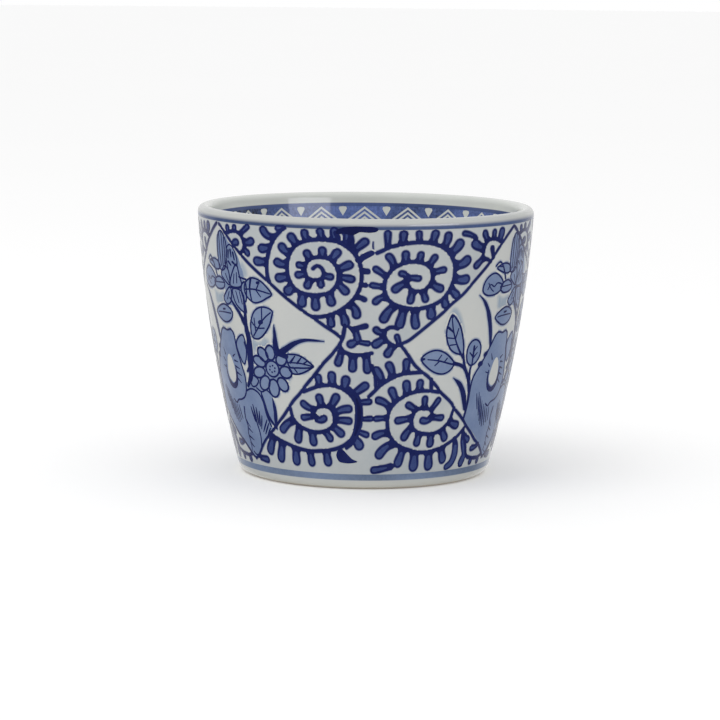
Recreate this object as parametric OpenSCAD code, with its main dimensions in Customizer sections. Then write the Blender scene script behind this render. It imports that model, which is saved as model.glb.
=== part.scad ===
// Porcelain tea cup: a straight-sided, gently bowed beaker on a low foot ring.
// Every node is a closed solid of the fired piece, laid face to face from the clay outwards:
// clay body and foot, painted lines and printed panels, then the glaze skins that seal them.
// Origin: centre of the foot's resting plane. +Z up, -Y is the side with the printed seam.

/* [Cup] */
// Overall height
cup_h = 63.7; // [62:0.1:66]
// Overall diameter, at the widest point just under the lip
rim_d = 80; // [78:0.5:82]
// Lean of the wall from upright at the rim, degrees
rim_lean = 3.9; // [3.5:0.1:4.3]
// Radius of the wall's bow, seen from the side
wall_bow_r = 320; // [300:5:360]
// Wall thickness at the lip
wall_t = 3; // [2.8:0.1:3.4]
// Extra wall thickness per millimetre of height, towards the base
wall_taper = 0.02; // [0.015:0.005:0.025]
// Height of the rounded lip above the widest point
lip_h = 1.56; // [1.4:0.02:1.7]

/* [Floor and foot] */
// Height of the inside floor above the table
floor_z = 7.2; // [6.6:0.1:8]
// Radius of the bend between inside wall and floor
floor_bend_r = 9; // [8:0.5:11]
// Outer diameter of the ring that touches the table
foot_contact_d = 56.2; // [55:0.2:57]
// Width of the ring that touches the table
foot_contact_w = 2.8; // [2.4:0.1:3.2]
// Height of the rounded corner between foot and wall
corner_h = 2.66; // [2.5:0.02:2.9]
// Depth of the recess inside the foot ring
recess_h = 2.6; // [2.5:0.1:2.9]
// Height of the bare edge between table and glaze
bare_edge_h = 0.55; // [0.4:0.05:0.7]

/* [Glaze and decoration] */
// Thickness of the clear glaze skins
glaze_t = 0.3; // [0.25:0.05:0.4]
// Thickness of the painted and printed layer under the glaze
print_t = 0.12; // [0.1:0.01:0.15]
// Lower edge of the painted line near the foot
foot_line_z = 2.3; // [2.2:0.05:2.5]
// Width of the painted line near the foot
foot_line_w = 1.5; // [1.2:0.1:1.8]
// Width of the painted line under the lip
rim_line_w = 0.85; // [0.7:0.05:1.1]
// Upper edge of the painted line on the inside
inner_line_z = 61.1; // [60.6:0.1:61.4]
// Width of the painted line on the inside
inner_line_w = 0.8; // [0.6:0.1:1]
// Width of the zigzag band on the inside
inner_band_w = 8.8; // [7:0.2:10]
// Half width of a flower lozenge at its waist
lozenge_half_w = 27.8; // [26:0.2:28.4]
// Height of the lozenge's side corners above the table
lozenge_mid_z = 35.7; // [34:0.1:37]

/* [Hidden] */
$fn = 96;

rim_r = rim_d / 2;
foot_r = foot_contact_d / 2;
foot_in_r = foot_r - foot_contact_w;
z_widest = cup_h - lip_h;
lip_half_w = wall_t / 2;
lip_r = rim_r - lip_half_w;
rim_line_z = z_widest - rim_line_w;
foot_line_top = foot_line_z + foot_line_w;
inner_line_bottom = inner_line_z - inner_line_w;
inner_band_z = inner_line_bottom - inner_band_w;
clay_inset = glaze_t + print_t;
corner_power = 1.2;         // 1 would be a chamfer-like ellipse, 2 a true quarter round
path_step = 4;              // longest straight stretch of an outline, in height
lip_steps = 6;              // facets of each half of the lip
bend_steps = 8;             // facets of the inside bend
foot_chamfer = 0.3;         // small round-over inside the resting ring
recess_slope = 0.4;         // draft of the foot ring's inner side
repeats = 3;                // the print goes round the cup three times
sector = 360 / repeats;
lozenge_over = 1.1;         // the lozenge's tips reach this far past the printed field
lozenge_under = 1.8;
prism_near = 15;            // radial reach of the cutters that shape the panels
prism_deep = 30;

clay = [0.86, 0.85, 0.82];
glaze = [0.84, 0.86, 0.86];
cobalt = [0.25, 0.33, 0.55];
scroll_blue = [0.36, 0.44, 0.66];
flower_blue = [0.62, 0.68, 0.80];

// Outer surface: a shallow arc from the corner to the widest point.
function wall_r(z) = rim_r - wall_bow_r * cos(rim_lean)
    + sqrt(pow(wall_bow_r, 2) - pow(z_widest - z + wall_bow_r * sin(rim_lean), 2));

// Outer surface of the rounded corner under the wall.
function corner_sin(z) = pow(1 - z / corner_h, 1 / corner_power);
function corner_r(z) = foot_r
    + (wall_r(corner_h) - foot_r) * pow(1 - pow(corner_sin(z), 2), corner_power / 2);
function outer_r(z) = z < corner_h ? corner_r(z) : wall_r(z);

// Inside surface of the wall.
function inner_r(z) = wall_r(z) - wall_t - wall_taper * (z_widest - z);

// Heights from z0 to z1, close enough for the arc to read as smooth.
function stops(z0, z1) = let (n = max(1, ceil((z1 - z0) / path_step)))
    [for (i = [0:n]) z0 + (z1 - z0) * i / n];

// Points up the outside, set in from the surface.
function up_outside(z0, z1, inset) = [for (z = stops(z0, z1)) [outer_r(z) - inset, z]];
// Points down the inside, set in from the surface.
function down_inside(z1, z0, inset) = [for (z = stops(-z1, -z0)) [inner_r(-z) + inset, -z]];
function reversed(p) = [for (i = [len(p) - 1:-1:0]) p[i]];

// Half of the lip's rounded crest, from angle a0 to a1, 90 being the crest.
function lip_arc(a0, a1, inset) = [for (i = [0:lip_steps])
    let (a = a0 + (a1 - a0) * i / lip_steps)
    [lip_r + (lip_half_w - inset) * cos(a), z_widest + (lip_h - inset) * sin(a)]];

// Bend from the inside wall into the floor, tangent to both.
bend_lean = atan((inner_r(floor_z + floor_bend_r) - inner_r(floor_z + floor_bend_r - 1)));
bend_top = floor_z + floor_bend_r * (1 - sin(bend_lean));
bend_c = [inner_r(bend_top) - floor_bend_r * cos(bend_lean), floor_z + floor_bend_r];
function bend_arc(inset) = [for (i = [0:bend_steps])
    let (a = bend_lean + (90 - bend_lean) * i / bend_steps)
    bend_c + (floor_bend_r + inset) * [cos(a), -sin(a)]];

// Inside of the foot ring and underside of the floor, from the axis outwards.
recess_r = foot_in_r - foot_chamfer;
function recess_side(inset) = [
    [recess_r - 1 - inset, recess_h + inset],
    [recess_r - recess_slope + inset / 2, recess_h - 0.5 + inset / 2],
    [recess_r - foot_chamfer / 2 + inset / 2, bare_edge_h + foot_chamfer]
];

module ring(points) {
    rotate_extrude() polygon(points);
}

// A layer of the wall between two insets, over a stretch of height.
module outside_layer(z0, z1, skin, depth) {
    ring(concat(up_outside(z0, z1, skin), reversed(up_outside(z0, z1, depth))));
}

module inside_layer(z1, z0, skin, depth) {
    ring(concat(down_inside(z1, z0, skin), reversed(down_inside(z1, z0, depth))));
}

// The unglazed ring that the cup stands on.
module foot_ring() {
    color(clay) ring(concat(
        [[foot_in_r, 0]],
        up_outside(0, bare_edge_h, 0),
        up_outside(bare_edge_h, foot_line_z, glaze_t),
        [recess_side(glaze_t)[1]],
        [recess_side(glaze_t)[2]]
    ));
}

// Wall and floor in fired clay, under the decoration and the glaze.
module porcelain_body() {
    color(clay) ring(concat(
        [[0, recess_h + glaze_t], recess_side(glaze_t)[0], recess_side(glaze_t)[1]],
        up_outside(foot_line_z, foot_line_top, clay_inset),
        up_outside(foot_line_top, rim_line_z, clay_inset),
        up_outside(rim_line_z, z_widest, clay_inset),
        lip_arc(0, 90, glaze_t),
        lip_arc(90, 180, glaze_t),
        down_inside(z_widest, inner_line_z, glaze_t),
        down_inside(inner_line_z, inner_line_bottom, clay_inset),
        down_inside(inner_line_bottom, inner_band_z, clay_inset),
        down_inside(inner_band_z, bend_top, glaze_t),
        bend_arc(glaze_t),
        [[0, floor_z - glaze_t]]
    ));
}

// Clear glaze in the recess under the floor.
module recess_glaze() {
    color(glaze) ring(concat(
        [[0, recess_h]], recess_side(0),
        reversed(recess_side(glaze_t)), [[0, recess_h + glaze_t]]
    ));
}

// Clear glaze outside, from the bare edge to the crest of the lip.
module outer_glaze() {
    color(glaze) ring(concat(
        up_outside(bare_edge_h, foot_line_z, 0),
        up_outside(foot_line_z, foot_line_top, 0),
        up_outside(foot_line_top, rim_line_z, 0),
        up_outside(rim_line_z, z_widest, 0),
        lip_arc(0, 90, 0),
        lip_arc(90, 0, glaze_t),
        reversed(up_outside(rim_line_z, z_widest, glaze_t)),
        reversed(up_outside(foot_line_top, rim_line_z, glaze_t)),
        reversed(up_outside(foot_line_z, foot_line_top, glaze_t)),
        reversed(up_outside(bare_edge_h, foot_line_z, glaze_t))
    ));
}

// Clear glaze inside, from the crest of the lip down the wall and over the floor.
module inner_glaze() {
    color(glaze) ring(concat(
        [[0, floor_z]], reversed(bend_arc(0)),
        reversed(down_inside(inner_band_z, bend_top, 0)),
        reversed(down_inside(inner_line_bottom, inner_band_z, 0)),
        reversed(down_inside(inner_line_z, inner_line_bottom, 0)),
        reversed(down_inside(z_widest, inner_line_z, 0)),
        lip_arc(180, 90, 0),
        lip_arc(90, 180, glaze_t),
        down_inside(z_widest, inner_line_z, glaze_t),
        down_inside(inner_line_z, inner_line_bottom, glaze_t),
        down_inside(inner_line_bottom, inner_band_z, glaze_t),
        down_inside(inner_band_z, bend_top, glaze_t),
        bend_arc(glaze_t), [[0, floor_z - glaze_t]]
    ));
}

// Painted cobalt lines, under the glaze.
module foot_line() {
    color(cobalt) outside_layer(foot_line_z, foot_line_top, glaze_t, clay_inset);
}

module rim_line() {
    color(cobalt) outside_layer(rim_line_z, z_widest, glaze_t, clay_inset);
}

module inner_line() {
    color(cobalt) inside_layer(inner_line_z, inner_line_bottom, clay_inset, glaze_t);
}

module inner_band() {
    color(scroll_blue) inside_layer(inner_line_bottom, inner_band_z, clay_inset, glaze_t);
}

// Cutter in the outline of one flower lozenge, reaching out from the axis at an azimuth.
module lozenge_prism(azimuth) {
    rotate([90, 0, azimuth]) translate([0, 0, prism_near]) linear_extrude(prism_deep) polygon([
        [0, foot_line_top - lozenge_under], [lozenge_half_w, lozenge_mid_z],
        [0, rim_line_z + lozenge_over], [-lozenge_half_w, lozenge_mid_z]
    ]);
}

// One third of the printed field, centred on an azimuth.
module field_sector(azimuth) {
    rotate([0, 0, azimuth - 90 - sector / 2]) rotate_extrude(angle = sector) polygon(concat(
        up_outside(foot_line_top, rim_line_z, glaze_t),
        reversed(up_outside(foot_line_top, rim_line_z, clay_inset))
    ));
}

// Hourglass of octopus scroll between two lozenges.
module scroll_panel(azimuth) {
    color(scroll_blue) difference() {
        field_sector(azimuth);
        lozenge_prism(azimuth - sector / 2);
        lozenge_prism(azimuth + sector / 2);
    }
}

// Lozenge with flowers and a rock.
module flower_panel(azimuth) {
    color(flower_blue) intersection() {
        field_sector(azimuth);
        lozenge_prism(azimuth);
    }
}

module scroll_panel_front() { scroll_panel(0); }
module scroll_panel_right() { scroll_panel(sector); }
module scroll_panel_left() { scroll_panel(-sector); }
module flower_panel_right() { flower_panel(sector / 2); }
module flower_panel_left() { flower_panel(-sector / 2); }
module flower_panel_back() { flower_panel(180); }

foot_ring();
porcelain_body();
recess_glaze();
inner_glaze();
outer_glaze();
foot_line();
rim_line();
inner_line();
inner_band();
scroll_panel_front();
scroll_panel_right();
scroll_panel_left();
flower_panel_right();
flower_panel_left();
flower_panel_back();
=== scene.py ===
import math

import bmesh
import bpy
from mathutils import Matrix, Vector
from mathutils.geometry import delaunay_2d_cdt


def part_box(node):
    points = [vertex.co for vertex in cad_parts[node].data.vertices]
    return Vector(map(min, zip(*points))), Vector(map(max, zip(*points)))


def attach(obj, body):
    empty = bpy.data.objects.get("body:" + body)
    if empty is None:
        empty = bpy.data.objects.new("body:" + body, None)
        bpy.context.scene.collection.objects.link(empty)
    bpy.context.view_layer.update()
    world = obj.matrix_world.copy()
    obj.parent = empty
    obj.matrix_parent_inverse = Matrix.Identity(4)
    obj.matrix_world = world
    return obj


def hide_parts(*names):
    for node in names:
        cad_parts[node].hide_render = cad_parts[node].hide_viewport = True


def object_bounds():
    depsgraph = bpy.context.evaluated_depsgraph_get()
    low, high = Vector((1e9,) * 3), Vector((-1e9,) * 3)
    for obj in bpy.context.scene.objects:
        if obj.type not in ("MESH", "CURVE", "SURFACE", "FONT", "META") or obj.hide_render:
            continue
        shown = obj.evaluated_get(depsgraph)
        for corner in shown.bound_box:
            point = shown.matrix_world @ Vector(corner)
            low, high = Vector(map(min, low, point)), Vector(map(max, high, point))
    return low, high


bl_info = {
    "name": "Blue-printed porcelain cup",
    "version": (1, 0, 0),
    "blender": (4, 5, 0),
    "location": "3D View > Sidebar > Cup",
    "description": "Makes a glazed porcelain cup with painted lines and a blue print under the glaze",
    "category": "Object",
}

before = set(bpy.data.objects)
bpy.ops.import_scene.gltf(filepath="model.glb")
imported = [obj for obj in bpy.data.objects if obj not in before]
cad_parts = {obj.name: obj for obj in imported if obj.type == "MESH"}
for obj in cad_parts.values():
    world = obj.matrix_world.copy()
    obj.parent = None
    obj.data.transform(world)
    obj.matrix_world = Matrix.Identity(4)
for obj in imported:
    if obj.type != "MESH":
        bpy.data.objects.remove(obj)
CAD_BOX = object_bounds()

MM = 0.001


# ---------------------------------------------------------------- drawing kit
# The print is drawn flat: x is degrees round the cup times ARC, y is height in millimetres.

ARC = 0.628
# Paint levels: where outlines overlap, the highest shows.
HAZE, BLEED, WASH, BODY, FILL, LINE, GAP, DENSE = range(8)

# Millimetres, unless a line says otherwise.
SPACING = 0.5
BUD_SPACING = 0.35
STEM_REACH = 0.9
ROOT_HALF = 0.42
NECK = 1.15
SHORTEST_NECK = 1.2
FILLED_WIDTH = 1.25
FILL_RIM = 0.46
ARM_RIM = 0.85
LEAF_LINE = 0.42
VEIL_FADE = 0.9
# Shares of a bud's own width: its bulb, its waist, the spread of its fillets, and its shape from root to tip.
BULB = 1.05
WAIST = 0.86
FILLET = 1.75
BUD_SHAPE = (0.9, 0.88, 0.86, 0.88, 0.94, 0.98, 1.0, 1.0)
VEIL_RINGS = (1, 0.85, 0.7, 0.5, 0.3)


def smooth(points, closed=False, spacing=SPACING):
    """A smooth curve through a few points, with a stop about every spacing millimetres."""
    count = len(points)
    path = []
    for i in range(count if closed else count - 1):
        if closed:
            a, b, c, d = (points[(i + k) % count] for k in (-1, 0, 1, 2))
        else:
            a, b, c, d = (points[min(max(i + k, 0), count - 1)] for k in (-1, 0, 1, 2))
        steps = max(2, round(math.dist(b, c) / spacing))
        for step in range(steps):
            t = step / steps
            path.append(tuple(
                0.5 * (2 * q + (r - p) * t + (2 * p - 5 * q + 4 * r - s) * t * t
                       + (3 * q - p - 3 * r + s) * t * t * t)
                for p, q, r, s in zip(a, b, c, d)))
    if not closed:
        path.append(points[-1])
    return path


def round_end(tip, start, facets):
    """Half circle round a tip, clockwise from start."""
    angle = math.atan2(start[1] - tip[1], start[0] - tip[0])
    radius = math.dist(start, tip)
    return [(tip[0] + radius * math.cos(angle - math.pi * k / facets),
             tip[1] + radius * math.sin(angle - math.pi * k / facets)) for k in range(1, facets)]


def brush(path, halves, facets=5):
    """Outline of a brush stroke. halves gives half its width at even stations along the path."""
    last = len(path) - 1
    left, right = [], []
    for i, (x, y) in enumerate(path):
        x0, y0 = path[max(i - 1, 0)]
        x1, y1 = path[min(i + 1, last)]
        run = math.hypot(x1 - x0, y1 - y0) or 1e-9
        nx, ny = (y0 - y1) / run, (x1 - x0) / run
        at = i / last * (len(halves) - 1)
        k = min(int(at), len(halves) - 2)
        ease = (at - k) ** 2 * (3 - 2 * (at - k))
        half = halves[k] * (1 - ease) + halves[k + 1] * ease
        left.append((x + nx * half, y + ny * half))
        right.append((x - nx * half, y - ny * half))
    return (left + round_end(path[-1], left[-1], facets) + right[::-1]
            + round_end(path[0], right[0], facets))


class Sheet:
    """The flat drawing: outlines, each with a paint level and a tone."""

    def __init__(self, bleed, stretch=1.0, shift=0.0):
        self.bleed = bleed
        self.stretch = stretch
        self.shift = shift
        self.shapes = []
        self.veils = []

    def spot(self, point):
        """A place on the panel, (degrees from its middle, height), as a place on the flat sheet."""
        return ((point[0] * self.stretch + self.shift) * ARC, point[1])

    def curve(self, points, closed=False, spacing=SPACING):
        return smooth([self.spot(p) for p in points], closed, spacing)

    def add(self, level, tone, outline):
        self.shapes.append((level, tone, outline))

    def stroke(self, path, halves, level=LINE, tone="dark", facets=5, halo=True):
        """Paint along a path on the flat sheet, with the blue that spreads from it."""
        self.add(level, tone, brush(path, halves, facets))
        if halo:
            self.add(BLEED, "bleed", brush(path, [h + self.bleed for h in halves], facets))

    def line(self, points, *widths, tone="dark", level=LINE, halo=True):
        """A brushed line; widths are in millimetres, evenly along it."""
        halves = [w / 2 for w in (widths if len(widths) > 1 else widths * 2)]
        self.stroke(self.curve(points), halves, level, tone, halo=halo)

    def lobe(self, root, tip, width, bend=0.0, *, stems):
        """One bud of the scroll: it springs from the nearest stem and ends in a round bulb."""
        x0, y0 = self.spot(root)
        x1, y1 = self.spot(tip)
        bulb = width / 2 * BULB
        near, stem, k = min(((math.dist(p, (x0, y0)), stem, k) for stem in stems for k, p in enumerate(stem)),
                            key=lambda found: found[0])
        if near < STEM_REACH:
            x0, y0 = stem[k]
        length = math.dist((x0, y0), (x1, y1))
        ux, uy = (x1 - x0) / length, (y1 - y0) / length
        reach = max(length - bulb, 0.3)
        count = max(8, round(reach / BUD_SPACING))
        path = []
        for i in range(count + 1):
            t = i / count
            side = 4 * bend * t * (1 - t)
            path.append((x0 + ux * reach * t - uy * side, y0 + uy * reach * t + ux * side))
        halves = [min(ROOT_HALF, bulb)] + [bulb * share for share in BUD_SHAPE]
        self.stroke(path, halves, BODY, facets=7)
        if near < STEM_REACH and reach > SHORTEST_NECK:
            self.web(stem, k, path[round(NECK / reach * count)], (-uy, ux), bulb * WAIST)
        if width > FILLED_WIDTH:
            inner = path[max(1, round(count * 0.4)):]
            halves = [max(0.1, bulb * 0.72 - FILL_RIM), bulb * 0.88 - FILL_RIM, bulb - FILL_RIM]
            self.stroke(inner, halves, FILL, "mid", 6, halo=False)

    def web(self, stem, k, neck, across, half):
        """Fillets where a bud leaves its stem."""
        step = max(1, round(half * FILLET / SPACING))
        first, last = max(k - step, 0), min(k + step, len(stem) - 1)
        ax, ay = stem[first]
        bx, by = stem[last]
        if (bx - ax) * across[0] + (by - ay) * across[1] < 0:
            half = -half
        sides = [(neck[0] + across[0] * h, neck[1] + across[1] * h) for h in (half, -half)]
        self.add(BODY, "dark", stem[first:last + 1] + sides)

    def patch(self, points, tone, level=WASH):
        """A closed area of paint with a smooth edge."""
        self.add(level, tone, self.curve(points, True, 0.6))

    def veil(self, points):
        """A soft cloud of thin wash: rings one inside another, so that its ink can fade toward the edge."""
        middle = [sum(p[k] for p in points) / len(points) for k in (0, 1)]
        for share in VEIL_RINGS:
            self.patch([[m + (v - m) * share for m, v in zip(middle, p)] for p in points], "veil", BLEED)
        self.veils.append(self.curve(points, True, 0.25))

    def ring(self, outline, width):
        """Wash inside a drawn outline, from a closed ring on the sheet. The line is two strokes that meet."""
        self.add(WASH, "wash", outline)
        half = len(outline) // 2
        for path in (outline[:half + 1], outline[half:] + outline[:1]):
            self.stroke(path, [width / 2] * 2)


# ---------------------------------------------------------------- the scroll panel
# Degrees from the middle of the hourglass, height in millimetres.

SCROLL_STEMS = {
    "upper left spiral": (0.85, [
        (-17.6, 52.2), (-16.2, 52.9), (-14.6, 52.4), (-13.9, 51), (-15, 49.9), (-17.2, 49.6), (-19.4, 50),
        (-20.5, 51.6), (-19.8, 53.5), (-17.8, 54.6), (-15, 54.9), (-12, 54.5), (-9.8, 53.1), (-8.9, 51),
        (-9.5, 48.7), (-11.6, 47), (-14.5, 46.3), (-18, 46.1), (-21.5, 46.4), (-24.6, 47.5), (-26.5, 49.6),
        (-27, 52), (-26.3, 54.6), (-24.3, 56.9), (-21.3, 58.2), (-17.5, 58.8), (-13.5, 58.9), (-9.5, 58.6),
        (-6, 57.4), (-3.2, 55.6), (-1.7, 53.4), (-1.2, 51), (-1.6, 48.3), (-3.2, 46), (-5.6, 44.2),
        (-8.6, 42.7), (-12, 41.7), (-15.5, 41.1), (-18.5, 41.1)]),
    "upper left arc": (0.95, [
        (-27.4, 61.3), (-28.6, 60.7), (-30.8, 59.3), (-32.9, 57.2), (-34.4, 54.6), (-35.1, 52),
        (-35.1, 49.8), (-34.4, 48.6)]),
    "upper left curl": (0.85, [
        (-55.2, 58.9), (-53, 59), (-50.5, 59.5), (-48, 59.4), (-46, 58.6), (-45, 57.2), (-45, 55.8),
        (-46.3, 54.8), (-47.2, 54.6)]),
    "upper right curl": (0.85, [
        (52.5, 57.2), (50.5, 58), (48, 58.4), (45.5, 58.2), (44, 57.3), (43.4, 56), (43.3, 54.6),
        (44.2, 54), (46, 53.6), (47.2, 53.1)]),
    "upper right spiral": (0.85, [
        (14.3, 51), (14.2, 49.8), (14.6, 48.6), (16.3, 47.4), (18.5, 47.2), (20.5, 47.5), (22.3, 48.7),
        (23.1, 50.3), (22.6, 52), (20.8, 53.3), (18, 53.9), (15, 54), (12, 53.5), (9.5, 52.6), (7.6, 51.1),
        (6.5, 49.3), (6.6, 47.3), (7.8, 45.5), (9.9, 44.3), (12.8, 43.6), (16, 43.2), (19.5, 43.2),
        (23, 43.7), (26.5, 44.7), (29, 46.3), (30.8, 48.5), (31.5, 51), (31, 53.5), (29, 55.7),
        (26.5, 57.1), (23.2, 58), (19.5, 58.4), (15.5, 58.4), (11.5, 58), (8, 57.4), (5.5, 56.6),
        (3.8, 56.1)]),
    "waist left": (0.85, [
        (-6.9, 39.4), (-7.2, 38), (-7.5, 37), (-7.9, 36)]),
    "waist top": (0.4, [
        (-6.9, 38.9), (-5, 39), (-3.3, 38.6)]),
    "waist arc": (0.85, [
        (-8.8, 34.8), (-8, 33.6), (-6.5, 32.9), (-4, 32.5), (-1, 32.5), (2.6, 32.9)]),
    "waist hook": (0.85, [
        (12.6, 34.7), (11, 34.6), (9.3, 35), (7.7, 35.9), (7, 37), (7.3, 38.2), (8.7, 38.9), (10.3, 38.9),
        (11.6, 38.6)]),
    "lower left curl": (0.85, [
        (-19.3, 17.2), (-19.5, 18.6), (-18, 19.7), (-15.5, 20), (-13, 19.6), (-11.7, 18.2), (-11.6, 16.4),
        (-12.9, 15), (-15.5, 14.1), (-18.5, 13.7), (-22, 13.9), (-25, 14.5), (-27.5, 15.5), (-29.2, 17),
        (-29.8, 19)]),
    "lower left turn": (0.85, [
        (-23.5, 23.2), (-20, 24.1), (-16, 24.9), (-12.5, 25.1), (-9, 24.6), (-6, 23.5), (-3.9, 22),
        (-2.6, 20.2), (-2.2, 18.2), (-2.2, 16.3), (-2.9, 14.4), (-4.5, 12.7), (-7, 11.2), (-10, 10.2),
        (-14, 9.5), (-18, 9.2), (-22, 9), (-26, 9.2), (-30, 9.7), (-33.5, 10.3), (-37, 11), (-40, 11.8),
        (-42, 12.4)]),
    "lower right curl": (0.85, [
        (27.6, 17.2), (27.6, 18.2), (26.4, 19.2), (24, 19.4), (21.5, 19.4), (19.8, 18.4), (19.2, 16.8),
        (19.7, 15.1), (21.5, 14), (24.5, 13.4), (27.5, 13.2), (30.5, 13.4), (33, 14.1), (35.3, 15.3),
        (36.8, 17), (37.6, 19)]),
    "lower right turn": (0.85, [
        (29.5, 23.2), (26, 23.6), (22, 23.7), (18, 23.3), (14.5, 22.3), (11.8, 21), (9.9, 19.2), (9.3, 17),
        (9.6, 14.8), (10.8, 12.9), (13, 11.4), (15.8, 10.3), (19, 9.6), (22.5, 9), (26, 8.8), (29.5, 9),
        (33, 9.4), (36.5, 10.2), (40, 11.2), (43, 12.5), (45.6, 14.2)]),
    "lower right tail": (0.85, [
        (44.8, 13.6), (46.5, 11), (48.3, 9), (49.3, 7.4), (51, 6.4), (54, 5.9), (57, 5.7), (60, 5.7),
        (62.5, 6.2)]),
    "lower right shoulder": (0.85, [
        (1.8, 22.6), (4, 24), (5.5, 25), (8, 26.2), (11, 27.2), (14, 27.9), (17, 28.1), (21.4, 28.2)]),
    "riser": (0.8, [
        (4.3, 24.8), (4.2, 27), (3.5, 28.5), (2.7, 30)]),
    "shoulder bar": (0.9, [
        (25.7, 26.4), (26.1, 23.9)]),
}

BORDERS = {
    "upper left": [
        (-58.5, 60.7), (-56, 59.5), (-50, 56), (-44, 52.8), (-40, 50.9), (-34.5, 48.4), (-30, 46.1),
        (-26, 44.2), (-22, 42.4), (-18, 40.8), (-14, 39), (-11, 37.8), (-9, 36.8), (-8, 35.9), (-8.8, 34.9)],
    "lower left": [
        (-8.2, 35.6), (-9.5, 34.2), (-12, 32.2), (-15, 30.2), (-18, 27.8), (-22.5, 24.6), (-25, 22.7),
        (-28, 20.9), (-30.5, 19), (-33, 17.2), (-36, 15.3), (-39, 13.6), (-42, 12), (-46, 9.9), (-49, 7.9),
        (-51.5, 6.3), (-54.3, 5.3)],
    "upper right": [
        (59.5, 60.9), (56, 59.1), (52, 56.7), (49, 54.6), (47, 53), (43, 50.6), (40, 48.8), (36.5, 46.5),
        (34, 45.2), (31, 43.8), (28, 42), (24.5, 40.2), (20, 37.9), (16, 35.9), (14, 35.3), (13, 35)],
    "lower right": [
        (12.8, 34.9), (16, 32.2), (18.5, 30), (21.5, 28.3), (24, 27.2), (26, 26), (28.5, 24.4), (30.5, 23),
        (33, 21.8), (36, 20.3), (38, 18.8), (41.5, 17), (44, 15.6), (46.5, 14.1), (50, 12.3), (54, 10.3),
        (58, 8.9), (61, 7.4), (64, 5.8), (65.5, 5.4)],
}

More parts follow.
